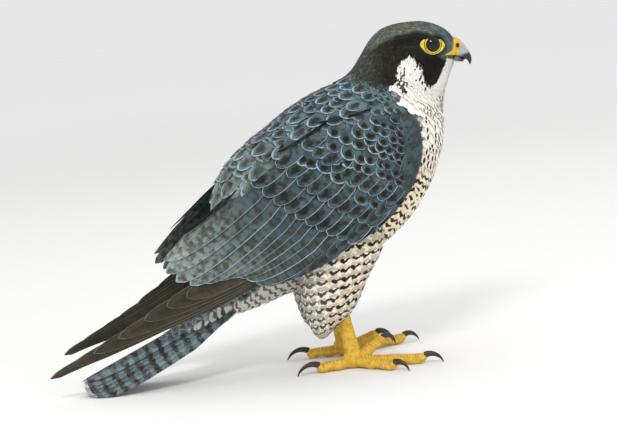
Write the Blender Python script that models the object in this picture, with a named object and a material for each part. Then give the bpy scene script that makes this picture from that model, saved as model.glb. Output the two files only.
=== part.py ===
"""A peregrine falcon, life size, standing on both feet with folded wings.

The bird faces +X, its right side is at -Y, and it stands on the plane z = 0. Every form is worked out in
millimetres in the drawn pose, pitched forward by PITCH about the feet, and set down in metres.
Each named part of the body is one closed solid, and neighbours keep a gap of GAP.
"""

import math

import bmesh
import bpy
import numpy as np

MM = 0.001
GAP = 0.35
PITCH = math.radians(6.0)
ORIGIN_X = -67.9
ORIGIN_Y = 0.0
SIDES = {"right": -1.0, "left": 1.0}

# The body from the bill's root to the vent, as rings: the back's x and z, the underside's x and z, the half
# width, how far down from the back the widest level is, and the fullness of the section.
BODY = np.array(
    [
        (79.3, 271.8, 79.2, 252.8, 7.4, 0.50, 2.2),
        (75.6, 275.0, 79.0, 250.6, 11.2, 0.50, 2.2),
        (69.6, 279.6, 78.1, 247.2, 15.2, 0.48, 2.2),
        (61.4, 283.1, 76.4, 243.0, 18.2, 0.46, 2.2),
        (51.6, 285.0, 74.7, 237.6, 20.4, 0.46, 2.2),
        (40.1, 284.5, 73.1, 230.9, 22.0, 0.47, 2.1),
        (28.4, 282.5, 71.8, 224.2, 23.4, 0.48, 2.0),
        (17.1, 278.1, 71.0, 217.5, 24.8, 0.49, 2.0),
        (7.9, 269.3, 70.7, 210.8, 27.0, 0.50, 2.0),
        (0.0, 255.9, 71.2, 203.3, 31.0, 0.50, 2.0),
        (-8.3, 243.4, 71.0, 194.1, 37.0, 0.50, 2.05),
        (-21.7, 234.2, 69.6, 180.8, 43.5, 0.49, 2.1),
        (-39.5, 226.3, 65.6, 166.2, 48.5, 0.49, 2.15),
        (-58.6, 214.6, 59.4, 148.2, 51.0, 0.49, 2.15),
        (-79.5, 198.0, 47.4, 127.3, 51.0, 0.49, 2.1),
        (-100.5, 181.0, 30.6, 107.7, 48.5, 0.50, 2.0),
        (-116.0, 163.0, 9.0, 89.8, 44.0, 0.52, 1.85),
        (-125.0, 143.5, -16.7, 74.7, 37.5, 0.54, 1.75),
        (-126.0, 121.0, -43.4, 63.9, 30.0, 0.54, 1.75),
        (-122.5, 100.5, -66.8, 54.7, 23.0, 0.53, 1.8),
        (-120.5, 83.5, -86.8, 46.3, 17.5, 0.51, 1.9),
        (-120.5, 69.5, -101.9, 41.3, 12.5, 0.50, 2.0),
    ]
)
HEAD_END = 6.5
HEAD_PLACES = np.array(
    [0, 0.3, 0.7, 1.1, 1.5, 1.9, 2.3, 2.65, 3.0, 3.35, 3.7, 4.05, 4.4, 4.8, 5.3, 5.9, HEAD_END]
)
HEAD_SIDES = 30
NECK_END = 10.0
TORSO_END = len(BODY) - 1.0
BODY_SIDES = 26

# Eye
EYE_CENTRE = (57.3, 15.2, 265.4)
EYE_RADIUS = 8.0
EYE_TURN = math.radians(15.0)
LID_RADIUS = (8.2, 6.5)
LID_THICKNESS = 1.25
LID_RISE = 0.25
EYE_LEVEL = 20.2
EYE_LEAN = 0.10
SOCKET_WIDTH = 10.0
BROW_RISE = 1.6
BROW_CENTRE = (60.0, 275.0)
GAPE = np.array([(68.4, 258.9, 68.4, 258.1, 26.0), (78.4, 258.1, 78.4, 257.1, 26.0)])
GAPE_DEPTH = 1.1

# Bill: ridge x and z, cutting edge x and z, half width
CERE = np.array(
    [
        (79.7, 271.6, 79.7, 256.6, 7.2),
        (81.6, 271.4, 79.9, 256.0, 7.5),
        (84.2, 269.6, 80.8, 255.6, 7.1),
        (85.6, 268.3, 81.5, 255.4, 6.6),
    ]
)
BILL_UPPER = np.array(
    [
        (86.0, 267.9, 81.9, 255.3, 6.3),
        (88.4, 265.8, 83.6, 254.8, 5.7),
        (90.6, 262.6, 85.8, 254.3, 4.8),
        (92.7, 259.5, 87.7, 253.0, 3.9),
        (94.2, 256.4, 89.4, 253.5, 3.0),
        (94.8, 253.5, 91.2, 252.5, 2.1),
        (94.6, 251.1, 92.5, 250.8, 1.2),
        (93.9, 249.1, 93.3, 249.0, 0.35),
    ]
)
BILL_LOWER = np.array(
    [
        (79.7, 255.3, 79.7, 251.9, 6.0),
        (82.6, 254.6, 82.5, 251.4, 5.5),
        (85.4, 253.6, 85.2, 251.3, 4.4),
        (87.6, 252.3, 87.5, 251.4, 2.8),
    ]
)
NOSTRIL = (81.7, 264.6)
NOSTRIL_RADIUS = 1.15
NOSTRIL_OUT = 8.3

# The folded wing's sheet from the wrist to the tip: the back edge's x, z and distance from the midplane, and
# the lower edge's. A section is an arc of an ellipse whose lower edge is at WING_TURN from its top.
WING = np.array(
    [
        (41.0, 207.0, 44.0, 44.0, 175.1, 50.0),
        (29.0, 213.0, 43.0, 38.0, 164.5, 53.5),
        (6.3, 216.0, 42.0, 26.0, 142.7, 56.5),
        (-15.5, 213.5, 40.5, 9.2, 125.0, 58.0),
        (-39.0, 206.0, 39.0, -14.1, 108.3, 57.0),
        (-61.8, 192.6, 35.0, -38.8, 92.4, 54.0),
        (-83.0, 174.4, 29.0, -65.1, 79.7, 50.0),
        (-102.7, 152.7, 21.0, -88.1, 71.5, 45.5),
        (-124.2, 134.0, 13.0, -116.7, 55.4, 39.0),
        (-145.8, 114.0, 9.0, -147.0, 42.4, 33.0),
        (-169.1, 86.0, 7.5, -178.1, 26.3, 27.0),
        (-195.0, 56.0, 7.5, -206.7, 13.3, 21.5),
        (-226.0, 26.0, 8.0, -233.7, 2.2, 16.0),
        (-258.0, 0.0, 8.5, -259.0, -9.8, 11.5),
    ]
)
WING_TURN = math.radians(105.0)
WING_BODY_END = 7.6
WING_DEPTH = 17.0
WING_ROUND = 9.0
WING_SINK = 5.2

# How the left wing's feathers are moved: at a place along x, how far ahead and how far up
FAR_WING = np.array(
    [
        (-257.0, 11.0, 15.0),
        (-225.0, 4.5, 10.5),
        (-190.0, -3.0, 5.5),
        (-160.0, -8.0, 2.5),
        (-120.0, -8.5, 6.0),
        (-80.0, -5.0, 5.0),
        (-40.0, -1.5, 1.5),
        (0.0, 0.0, 0.0),
    ]
)

# Wing feathers: how many, widths, and where the first and last of each group root and end
VANE_THICKNESS = 0.6
VANE_TILT = 0.135
SECONDARIES = 8
SECONDARY_ROOTS = ((-72.0, 174.0), (-42.0, 102.0))
SECONDARY_TIPS = np.array(
    [
        (-162.0, 91.0),
        (-160.0, 78.0),
        (-146.0, 72.5),
        (-133.0, 74.5),
        (-121.0, 78.5),
        (-110.0, 79.5),
        (-99.5, 76.5),
        (-89.0, 71.0),
    ]
)
SECONDARY_WIDTH = (22.0, 19.0)
PRIMARY_TIPS = np.array(
    [
        (-257.0, -6.0),
        (-239.2, 4.6),
        (-222.0, 15.0),
        (-202.5, 27.4),
        (-178.0, 43.5),
        (-150.0, 60.5),
    ]
)
PRIMARY_ROOT = (-66.0, 90.0)
PRIMARY_ROOT_STEP = (-2.0, 2.2)
PRIMARY_WIDTH = (17.0, 21.0)
PRIMARY_DEPTH = 8.0
PRIMARY_STACK = 0.95
COVERT_TIERS = (
    {"count": 7, "first": (-92.0, 150.0), "last": (-14.0, 107.0), "bow": 6.0, "length": 38.0, "width": 17.0},
    {"count": 6, "first": (-70.0, 166.0), "last": (6.0, 119.0), "bow": 6.0, "length": 34.0, "width": 17.0},
    {"count": 5, "first": (-48.0, 180.0), "last": (20.0, 138.0), "bow": 5.0, "length": 30.0, "width": 17.0},
)
COVERT_SLOPE = (math.radians(47.0), math.radians(58.0))

# Tail: its root, how far its axis dips, its length, and how many feathers each side
TAIL_ROOT = (-96.0, 61.0)
TAIL_DIP = math.radians(29.0)
TAIL_LENGTH = 154.0
TAIL_PAIRS = 6
TAIL_VANE_WIDTH = 25.0
TAIL_SPREAD = 2.9
TAIL_LAYER = 0.95
TAIL_ROOF = 0.034
TAIL_COVERTS = np.array(
    [
        (8.0, 13.0, 10.0, 10.0),
        (17.0, 18.6, 13.6, 12.3),
        (30.0, 15.6, 14.6, 13.0),
        (46.0, 9.6, 12.8, 13.4),
        (62.0, 5.2, 9.4, 12.4),
        (76.0, 2.8, 5.6, 9.6),
        (86.0, 1.0, 2.2, 5.0),
    ]
)

# Legs, in the drawn pose: the thigh's front x and z, its back x and z, and its half width
THIGH = np.array(
    [
        (9.0, 124.0, -46.0, 112.0, 15.0),
        (15.0, 108.0, -52.0, 95.0, 20.0),
        (10.0, 92.4, -53.9, 79.2, 21.5),
        (2.9, 79.2, -52.4, 64.0, 20.0),
        (-2.9, 65.0, -50.0, 51.0, 17.5),
        (-8.4, 52.5, -46.0, 39.5, 14.5),
        (-15.5, 44.2, -42.0, 30.8, 11.0),
        (-25.0, 35.5, -38.0, 26.2, 6.5),
        (-31.0, 27.5, -35.0, 25.0, 1.6),
    ]
)
LEG_Y = 27.0
TARSUS_TOP = (-21.0, 54.0)
TARSUS_FOOT = (-7.5, 9.5)
TARSUS_RADII = ((5.8, 5.2), (5.6, 4.8), (5.6, 4.6), (6.0, 4.9), (6.8, 5.8))

# Feet, in the standing pose
FOOT_CENTRE = (-8.0, 7.8)
FOOT_RADII = (8.8, 7.8, 8.4)
PAD_DIP = 0.4

# Each toe's heading from straight ahead, its length and radius, how far its end is lifted off the floor, and
# its claw's length, first angle up and last angle down
TOES = {
    "hallux": (188.0, 32.0, 4.4, 0.0, 24.0, 26.0, -74.0),
    "inner_toe": (27.0, 33.0, 4.2, 15.0, 19.0, 22.0, -96.0),
    "middle_toe": (-18.0, 61.0, 4.5, 0.0, 19.0, 22.0, -78.0),
    "outer_toe": (-46.0, 43.0, 4.2, 0.0, 18.0, 22.0, -78.0),
}
CLAW_RADIUS = 2.7

MATERIALS = {
    "slate_plumage": ((0.10, 0.14, 0.18), 0.75),
    "pale_plumage": ((0.80, 0.74, 0.62), 0.85),
    "hood": ((0.05, 0.06, 0.065), 0.7),
    "yellow_skin": ((0.85, 0.55, 0.05), 0.5),
    "horn": ((0.06, 0.065, 0.07), 0.3),
    "eye": ((0.015, 0.01, 0.008), 0.05),
}


def clear_scene():
    for obj in list(bpy.data.objects):
        bpy.data.objects.remove(obj)


def material(name):
    colour, roughness = MATERIALS[name]
    made = bpy.data.materials.get(name)
    if made is None:
        made = bpy.data.materials.new(name)
        made.use_nodes = True
        shader = made.node_tree.nodes["Principled BSDF"]
        shader.inputs["Base Color"].default_value = (*colour, 1.0)
        shader.inputs["Roughness"].default_value = roughness
    return made


def along(rows, place):
    """A smooth curve through the rows, at places counted in rows."""
    place = np.clip(np.asarray(place, float), 0, len(rows) - 1 - 1e-9)
    index = place.astype(int)
    share = (place - index)[..., None]
    before, here, after, beyond = (rows[np.clip(index + k, 0, len(rows) - 1)] for k in (-1, 0, 1, 2))
    return 0.5 * (
        2 * here
        + (after - before) * share
        + (2 * before - 5 * here + 4 * after - beyond) * share**2
        + (3 * here - 3 * after + beyond - before) * share**3
    )


def eased(value):
    value = np.clip(value, 0.0, 1.0)
    return value * value * (3 - 2 * value)


def stand(points):
    """The drawn pose pitched forward about the feet."""
    x, y, z = np.moveaxis(np.asarray(points, float), -1, 0)
    cos, sin = math.cos(PITCH), math.sin(PITCH)
    return np.stack([x * cos + z * sin, y, z * cos - x * sin], -1)


def mesh_object(name, points, faces):
    """An object whose mesh has these points, given in millimetres of the standing pose."""
    points = (np.asarray(points, float).reshape(-1, 3) - (ORIGIN_X, ORIGIN_Y, 0.0)) * MM
    mesh = bpy.data.meshes.new(name)
    mesh.from_pydata(points.tolist(), [], [list(map(int, face)) for face in faces])
    editable = bmesh.new()
    editable.from_mesh(mesh)
    bmesh.ops.recalc_face_normals(editable, faces=editable.faces)
    editable.to_mesh(mesh)
    editable.free()
    return bpy.data.objects.new(name, mesh)


def loft(rings):
    """Points and triangles of a closed tube through the rings, capped by fans at its two ends.

    Both faces of a thin tube get the same diagonals, because the split follows the ring's own direction.
    """
    count, sides = rings.shape[:2]
    points = np.concatenate([rings.reshape(-1, 3), rings[[0, -1]].mean(1)])
    faces = []
    for i in range(count - 1):
        for j in range(sides):
            a, b = i * sides + j, i * sides + (j + 1) % sides
            c, d = a + sides, b + sides
            faces += [(a, c, d), (a, d, b)] if j < sides // 2 else [(a, c, b), (c, d, b)]
    first, last = count * sides, count * sides + 1
    for j in range(sides):
        after = (j + 1) % sides
        base = (count - 1) * sides
        faces += [(first, j, after), (last, base + after, base + j)]
    return points, faces


def oval(angles, fullness):
    """Cosine and sine of the angles, pushed out to a superellipse."""
    cos, sin = np.cos(angles), np.sin(angles)
    power = 2.0 / fullness
    return np.sign(cos) * np.abs(cos) ** power, np.sign(sin) * np.abs(sin) ** power


def body_rings(places, sides, grow=0.0):
    """Rings of the body at these places: up the back, round the side, under the breast."""
    rows = along(BODY, places)[:, None, :]
    angles = (np.arange(sides) / sides * math.tau)[None, :]
    up, out = oval(angles, rows[..., 6])
    back, under = rows[..., 0:2], rows[..., 2:4]
    middle = back + (under - back) * rows[..., 5:6]
    length = np.linalg.norm(back - under, axis=-1, keepdims=True)
    lift = (back - under) / length * grow
    reach = np.where(up[..., None] > 0, back + lift - middle, middle - under + lift)
    plane = middle + reach * up[..., None]
    across = (rows[..., 4] + grow) * out
    points = np.stack([plane[..., 0], across, plane[..., 1]], -1)
    return head_relief(points)


def head_relief(points):
    """The brow raised as a round bump, and the face round the eye drawn to a plane that leans with the head."""
    x, y, z = np.moveaxis(points, -1, 0)
    near, out = np.abs(y) > 4.0, np.abs(y)
    from_eye = np.hypot(x - EYE_CENTRE[0], z - EYE_CENTRE[2]) / SOCKET_WIDTH
    from_brow = np.hypot((x - BROW_CENTRE[0]) / 9.0, (z - BROW_CENTRE[1]) / 3.6)
    share = np.exp(-(from_eye**4))
    level = EYE_LEVEL - EYE_LEAN * (x - EYE_CENTRE[0])
    relief = BROW_RISE * np.exp(-(from_brow**2)) * (1 - share) + (level - out) * share
    return np.stack([x, y + np.sign(y) * relief * near, z], -1)


def flat_end(rings, first, last):
    """The rings with GAP taken off along the body at the ends asked for."""
    rings = rings.copy()
    for wanted, end, inner in ((first, 0, 1), (last, -1, -2)):
        if wanted:
            step = rings[inner].mean(0) - rings[end].mean(0)
            rings[end] += step / np.linalg.norm(step) * GAP
    return rings


def body_part(places, sides, trim_last):
    rings = body_rings(places, sides)
    return loft(stand(flat_end(rings, False, trim_last)))


def pair_rings(rows, sides, fullness, widest):
    """Rings of a bill or thigh from rows of upper and lower edge and half width."""
    angles = np.arange(sides) / sides * math.tau
    up, out = oval(angles[None, :], fullness)
    top, low = rows[:, None, 0:2], rows[:, None, 2:4]
    middle = top + (low - top) * widest
    plane = middle + np.where(up[..., None] > 0, top - middle, middle - low) * up[..., None]
    across = rows[:, 4:5] * out
    return np.stack([plane[..., 0], across, plane[..., 1]], -1)


def wing_sheet(place, down, lift):
    """A point of the right wing's sheet: place along it in rows, share of the way down, and lift off it."""
    rows = along(WING, place)
    top, low = rows[..., 0:2], rows[..., 3:5]
    wide = rows[..., 5] / math.sin(WING_TURN)
    start = np.arcsin(np.clip(rows[..., 2] / wide, 0, 1))
    span = np.cos(start) - math.cos(WING_TURN)
    length = np.linalg.norm(top - low, axis=-1)
    upward = (top - low) / length[..., None]
    tall = length / span
    cos = np.clip(np.cos(start) - down * span, -0.999, 0.999)
    sin = np.sqrt(1 - cos * cos)
    plane = top + upward * (tall * (cos - np.cos(start)))[..., None]
    normal_up, normal_out = cos / tall, sin / wide
    size = np.hypot(normal_up, normal_out)
    plane = plane + upward * (lift * normal_up / size)[..., None]
    across = -(wide * sin + lift * normal_out / size)
    return np.stack([plane[..., 0], across, plane[..., 1]], -1)


def wing_place(x, z):
    """Where on the wing's sheet a point of the side view falls: the row whose chord passes through it."""
    table = np.linspace(0, len(WING) - 1, 400)
    rows = along(WING, table)
    chord = rows[:, 3:5] - rows[:, 0:2]
    x, z = np.asarray(x, float)[..., None], np.asarray(z, float)[..., None]
    side = chord[:, 0] * (z - rows[:, 1]) - chord[:, 1] * (x - rows[:, 0])
    index = np.argmin(np.abs(side) + 1e3 * (np.hypot(x - rows[:, 0], z - rows[:, 1]) > 130), axis=-1)
    index = np.clip(index, 1, len(table) - 2)
    low = np.take_along_axis(side, index[..., None] - 1, -1)
    high = np.take_along_axis(side, index[..., None] + 1, -1)
    share = np.clip(-low / np.where(np.abs(high - low) < 1e-9, 1.0, high - low), 0, 1)[..., 0]
    place = table[index - 1] + share * (table[index + 1] - table[index - 1])
    rows = along(WING, place)
    chord = rows[..., 3:5] - rows[..., 0:2]
    down = (x[..., 0] - rows[..., 0]) * chord[..., 0] + (z[..., 0] - rows[..., 1]) * chord[..., 1]
    return place, down / (chord**2).sum(-1)


def on_wing(x, z, lift):
    place, down = wing_place(x, z)
    return wing_sheet(place, np.clip(down, 0.0, 1.03), lift)


LONG_VANE = (0.0, 0.34, 0.66, 0.92, 1.0)
SHORT_VANE = (0.0, 0.50, 0.88, 1.0)


def vane(surface, root, tip, width, bow, lift, tilt, blunt, places=SHORT_VANE):
    """A feather as a thin closed strip. Its centre line bows from root to tip in the surface's own plane.

    surface takes the strip's two plane coordinates and its lift, and lift takes the shares along the vane and
    the plane coordinates. The strip is sunk at its upper edge by tilt, so that neighbours lie like tiles.
    """
    share = np.array(places)
    root, tip = np.asarray(root, float), np.asarray(tip, float)
    line = tip - root
    length = np.linalg.norm(line)
    forward = line / length
    across = np.array([-forward[1], forward[0]])
    centre = root + line * share[:, None] + across * (bow * 4 * share * (1 - share))[:, None]
    half = width / 2 * np.minimum(0.55 + 1.6 * share, 1.0) * np.sqrt(np.maximum(1 - share**blunt, 0.012))
    edge = np.array([-1.0, 0.0, 1.0])
    flat = centre[:, None, :] + across * (half[:, None] * edge)[..., None]
    rise = lift(share[:, None], flat) + tilt * half[:, None] * edge
    faces_up = surface(flat[..., 0], flat[..., 1], rise + VANE_THICKNESS / 2)
    faces_down = surface(flat[..., 0], flat[..., 1], rise - VANE_THICKNESS / 2)
    rings = np.concatenate([faces_up, faces_down[:, ::-1]], axis=1)
    return loft(stand(rings))


def wing_feathers():
    """Flight feathers and coverts of the right wing, from the deepest primary out to the coverts."""
    made = []
    top, low = np.array(SECONDARY_ROOTS[0]), np.array(SECONDARY_ROOTS[1])
    for i, tip in enumerate(PRIMARY_TIPS):
        share = i / (len(PRIMARY_TIPS) - 1)
        root = np.array(PRIMARY_ROOT) + np.array(PRIMARY_ROOT_STEP) * i
        width = PRIMARY_WIDTH[0] + (PRIMARY_WIDTH[1] - PRIMARY_WIDTH[0]) * share

        def primary_lift(_, flat, layer=i):
            depth = eased((flat[..., 0] - PRIMARY_TIPS[0][0]) / 92.0) * PRIMARY_DEPTH
            return PRIMARY_STACK * layer - depth

        made.append(vane(on_wing, root, tip, width, 1.5, primary_lift, 0.0, 5.0, LONG_VANE))
    for i in range(SECONDARIES):
        share = i / (SECONDARIES - 1)
        root = top + (low - top) * share
        width = SECONDARY_WIDTH[0] + (SECONDARY_WIDTH[1] - SECONDARY_WIDTH[0]) * share

        def secondary_lift(_, flat):
            return -2.0 + 0 * flat[..., 0]

        tip = SECONDARY_TIPS[i]
        made.append(vane(on_wing, root, tip, width, 3.0, secondary_lift, VANE_TILT, 6.0, LONG_VANE))
    for tier, row in enumerate(COVERT_TIERS):
        first, last = np.array(row["first"]), np.array(row["last"])
        for i in range(row["count"]):
            share = i / (row["count"] - 1)
            tip = first + (last - first) * share + np.array([0.0, -row["bow"]]) * 4 * share * (1 - share)
            slope = COVERT_SLOPE[0] + (COVERT_SLOPE[1] - COVERT_SLOPE[0]) * share
            root = tip + np.array([math.cos(slope), math.sin(slope)]) * row["length"]

            def covert_lift(along_vane, _, step=tier):
                return -2.4 + 3.2 * along_vane + 0.25 * step

            made.append(vane(on_wing, root, tip, row["width"], 1.0, covert_lift, 0.09, 4.0))
    return made


def wing_body_rings(grow):
    """The wing's closed core under its coverts, rounded at the wrist and along its two edges."""
    places = np.array([0.0, 0.12, 0.35, 0.8, 1.5, 2.4, 3.5, 4.6, 5.7, 6.7, WING_BODY_END])
    down = np.linspace(0.0, 1.0, 8)
    front = np.clip(1 - places / 1.1, 0, 1)
    rear = eased((places - 4.6) / 2.2)
    rim = np.abs(2 * down - 1) ** 6
    round_off = WING_ROUND * (1 - np.sqrt(1 - front**2 * 0.999)) + WING_SINK * rear
    outer = -round_off[:, None] - 3.0 * rim[None, :]
    depth = WING_DEPTH + (4.2 + WING_SINK - WING_DEPTH) * eased((places - 5.2) / 1.8)
    inner = -np.maximum(depth[:, None], -outer + 2.0 + 0 * rim[None, :])
    along_it, across_it = np.meshgrid(places, down, indexing="ij")
    top = wing_sheet(along_it, across_it, outer + grow)
    low = wing_sheet(along_it, across_it, inner - grow)
    rings = np.concatenate([top, low[:, ::-1]], axis=1)
    if grow:
        ends = rings[[0, -1]] + (rings[[0, -1]] - rings[[1, -2]]) * 0.25
        rings[0], rings[-1] = ends
    return rings


def tail_surface(reach, across, lift):
    """Along the tail's axis, across it, and off it. Its outer feathers hang a little lower, like a roof."""
    cos, sin = math.cos(TAIL_DIP), math.sin(TAIL_DIP)
    rise = lift - TAIL_ROOF * across**2 + 1e-9
    x = TAIL_ROOT[0] - reach * cos - rise * sin
    z = TAIL_ROOT[1] - reach * sin + rise * cos
    return np.stack([x, across, z], -1)


def tail_feathers():
    """Twelve tail feathers: the middle pair on top, each next pair beneath, further out and shorter."""
    made = []

    def layer_lift(number):
        return lambda share, flat: 2.6 - TAIL_LAYER * number + 0 * flat[..., 0]

    for side in SIDES.values():
        layer = 0 if side < 0 else 1
        root, tip = (16.0, side * 1.0), (TAIL_LENGTH, side * 2.0)
        made.append(vane(tail_surface, root, tip, TAIL_VANE_WIDTH, 0.0, layer_lift(layer), 0.0, 7.0))
        for i in range(1, TAIL_PAIRS):
            inner_edge = 0.4
            outer_edge = TAIL_VANE_WIDTH / 2 + 1.2 + TAIL_SPREAD * i * 0.72
            middle = (inner_edge + outer_edge) / 2
            reach = TAIL_LENGTH + 0.9 * i - 0.25 * i * i
            root, tip = (16.0, side * (middle * 0.6)), (reach, side * middle)
            width = outer_edge - inner_edge
            made.append(vane(tail_surface, root, tip, width, 0.0, layer_lift(i + 1), 0.0, 7.0))
    return made


def tail_body():
    """The coverts round the tail's root: reach, rise above and drop below its axis, and half width."""
    angles = (np.arange(12) / 12 * math.tau)[None, :]
    rows = TAIL_COVERTS[:, None, :]
    up, out = np.cos(angles), np.sin(angles)
    lift = np.where(up > 0, rows[..., 1] * up, rows[..., 2] * up)
    across = rows[..., 3] * out
    return loft(stand(tail_surface(rows[..., 0] + 0 * lift, across, lift + TAIL_ROOF * across**2 * 0.6)))


def mirrored(points, side):
    """The right side's points moved to this side. The left wing lies a little higher."""
    points = np.array(points, float)
    points[..., 1] *= -side
    if side > 0:
        ahead, up = (np.interp(points[..., 0], FAR_WING[:, 0], FAR_WING[:, k]) for k in (1, 2))
        points[..., 0] += ahead
        points[..., 2] += up
    return points


def cutter(points, faces, name="cutter"):
    obj = mesh_object(name, points, faces)
    obj.hide_render = True
    obj.display_type = "WIRE"
    CUTTERS.objects.link(obj)
    return obj


def largest_shell(mesh):
    """The mesh with only its largest closed surface left."""
    editable = bmesh.new()
    editable.from_mesh(mesh)
    unseen, shells = set(editable.faces), []
    while unseen:
        shell, edge = [], [unseen.pop()]
        while edge:
            face = edge.pop()
            shell.append(face)
            for link in face.edges:
                for other in link.link_faces:
                    if other in unseen:
                        unseen.remove(other)
                        edge.append(other)
        shells.append(shell)
    shells.sort(key=lambda shell: -sum(face.calc_area() for face in shell))
    bmesh.ops.delete(editable, geom=[face for shell in shells[1:] for face in shell], context="FACES")
    editable.to_mesh(mesh)
    editable.free()


def apply_modifiers(obj):
    bpy.context.view_layer.update()
    shaped = obj.evaluated_get(bpy.context.evaluated_depsgraph_get())
    mesh = bpy.data.meshes.new_from_object(shaped)
    obj.modifiers.clear()
    obj.data = mesh
    largest_shell(mesh)


def fuse(obj, pieces, solver="EXACT"):
    """The pieces joined to the object by one union on their collection, which is emptied afterwards."""
    shapes = bpy.data.collections.new(obj.name + "_pieces")
    bpy.context.scene.collection.children.link(shapes)
    for i, (points, faces) in enumerate(pieces):
        shapes.objects.link(mesh_object(f"{obj.name}_piece_{i}", points, faces))
    join = obj.modifiers.new("join", "BOOLEAN")
    join.operation = "UNION"
    join.operand_type = "COLLECTION"
    join.collection = shapes
    join.solver = solver
    apply_modifiers(obj)
    for piece in list(shapes.objects):
        bpy.data.objects.remove(piece)
    bpy.data.collections.remove(shapes)


def carve(obj, cutters, solver="EXACT"):
    for other in cutters:
        cut = obj.modifiers.new("cut", "BOOLEAN")
        cut.operation = "DIFFERENCE"
        cut.object = other
        cut.solver = solver
    apply_modifiers(obj)


def add(name, shape, finish, smooth=True):
    obj = mesh_object(name, *shape)
    obj.data.materials.append(material(finish))
    BIRD.objects.link(obj)
    if smooth:
        obj.data.shade_smooth()
    return obj


def ball(centre, radii, around, tall):
    """Points and faces of a ball made as a sphere primitive, with its own radius along each axis."""
    shape = bmesh.new()
    bmesh.ops.create_uvsphere(shape, u_segments=around, v_segments=tall, radius=1.0)
    points = np.array([point.co[:] for point in shape.verts]) * radii + centre
    faces = [[corner.index for corner in face.verts] for face in shape.faces]
    shape.free()
    return points, faces


def rod(centre, radius, depth):
    """Points and faces of a round rod along Y, made as a cylinder primitive."""
    shape = bmesh.new()
    bmesh.ops.create_cone(shape, cap_ends=True, segments=12, radius1=radius, radius2=radius, depth=depth)
    points = np.array([point.co[:] for point in shape.verts])[:, [0, 2, 1]] + centre
    faces = [[corner.index for corner in face.verts] for face in shape.faces]
    shape.free()
    return points, faces


def head_side(x, z):
    """How far from the midplane the head's skin is, at these places of its side view."""
    skin = body_rings(np.linspace(1.5, 6.0, 90), 180)[:, 15:75].reshape(-1, 3)
    away = np.hypot(skin[:, 0] - x[:, None], skin[:, 2] - z[:, None])
    return skin[np.argmin(away, axis=1), 1]


def lid_ring(side):
    """The bare ring round the eye: a tube on an oval with a point towards the bill and one behind."""
    turn = np.arange(16) / 16 * math.tau
    pointed = 1.0 + 0.16 * np.abs(np.cos(turn)) ** 6
    x = EYE_CENTRE[0] + 1.2 + LID_RADIUS[0] * np.cos(turn) * pointed
    z = EYE_CENTRE[2] + LID_RADIUS[1] * np.sin(turn)
    path = np.stack([x, side * (head_side(x, z) + LID_RISE), z], -1)
    away = path - path.mean(0)
    away = away / np.linalg.norm(away, axis=1)[:, None]
    axis = np.array([math.sin(EYE_TURN), side * math.cos(EYE_TURN), 0.0])
    tube = np.arange(5) / 5 * math.tau
    spoke = away[:, None] * np.cos(tube)[:, None] + axis * np.sin(tube)[:, None]
    rings = path[:, None] + LID_THICKNESS * spoke
    count, sides = rings.shape[:2]
    faces = []
    for i in range(count):
        here, ahead = i * sides, (i + 1) % count * sides
        for j in range(sides):
            after = (j + 1) % sides
            faces.append((here + j, ahead + j, ahead + after, here + after))
    return stand(rings.reshape(-1, 3)), faces


def make_head():
    head = add("head", body_part(HEAD_PLACES, HEAD_SIDES, True), "hood")
    fuse(head, [lid_ring(side) for side in SIDES.values()])
    cuts = []
    for name, side in SIDES.items():
        centre = stand([[EYE_CENTRE[0], side * EYE_CENTRE[1], EYE_CENTRE[2]]])[0]
        cuts.append(cutter(*ball(centre, EYE_RADIUS + GAP, 16, 10)))
        add("eye_" + name, ball(centre, EYE_RADIUS, 16, 9), "eye")
    slot = cutter(*loft(stand(pair_rings(GAPE, 8, 6.0, 0.5))))
    carve(slot, [cutter(*loft(stand(body_rings(HEAD_PLACES, HEAD_SIDES, -GAPE_DEPTH))))])
    cuts.append(slot)
    carve(head, cuts)
    return head


def make_bill():
    cere = add("cere", loft(stand(pair_rings(CERE, 16, 2.3, 0.76))), "yellow_skin")
    holes = []
    for side in SIDES.values():
        points, faces = rod((NOSTRIL[0], side * NOSTRIL_OUT, NOSTRIL[1]), NOSTRIL_RADIUS, 7.0)
        holes.append(cutter(stand(points), faces))
    carve(cere, holes)
    add("bill_upper", loft(stand(pair_rings(BILL_UPPER, 14, 2.3, 0.76))), "horn")
    add("bill_lower", loft(stand(pair_rings(BILL_LOWER, 12, 2.6, 0.25))), "horn")


def make_wings(torso_cut):
    feathers = wing_feathers()
    core = loft(stand(wing_body_rings(0.0)))
    for name, side in SIDES.items():
        wing = add("wing_" + name, (mirrored(core[0], side), core[1]), "slate_plumage", smooth=False)
        fuse(wing, [(mirrored(points, side), faces) for points, faces in feathers], "MANIFOLD")
        carve(wing, [torso_cut], "MANIFOLD")


def make_tail(torso_cut):
    tail = add("tail", tail_body(), "slate_plumage", smooth=False)
    fuse(tail, tail_feathers(), "MANIFOLD")
    carve(tail, [torso_cut], "MANIFOLD")


def thigh_shape(side, grow=0.0):
    rings = pair_rings(THIGH, 18, 2.0, 0.5)
    middle = rings.mean(1, keepdims=True)
    if grow:
        away = rings - middle
        rings = rings + away / np.linalg.norm(away, axis=-1, keepdims=True) * grow
    rings[..., 1] += side * LEG_Y
    return loft(stand(rings))


def tarsus_shape(side):
    top = stand([[TARSUS_TOP[0], 0.0, TARSUS_TOP[1]]])[0]
    start = np.array([top[0], side * LEG_Y, top[2]])
    end = np.array([TARSUS_FOOT[0], side * LEG_Y, TARSUS_FOOT[1]])
    centre = start + (end - start) * np.linspace(0, 1, len(TARSUS_RADII))[:, None]
    angles = np.arange(10) / 10 * math.tau
    radii = np.array(TARSUS_RADII)
    ring = np.stack([radii[:, :1] * np.cos(angles), radii[:, 1:] * np.sin(angles)], -1)
    return loft(centre[:, None] + np.pad(ring, ((0, 0), (0, 0), (0, 1))))


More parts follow.
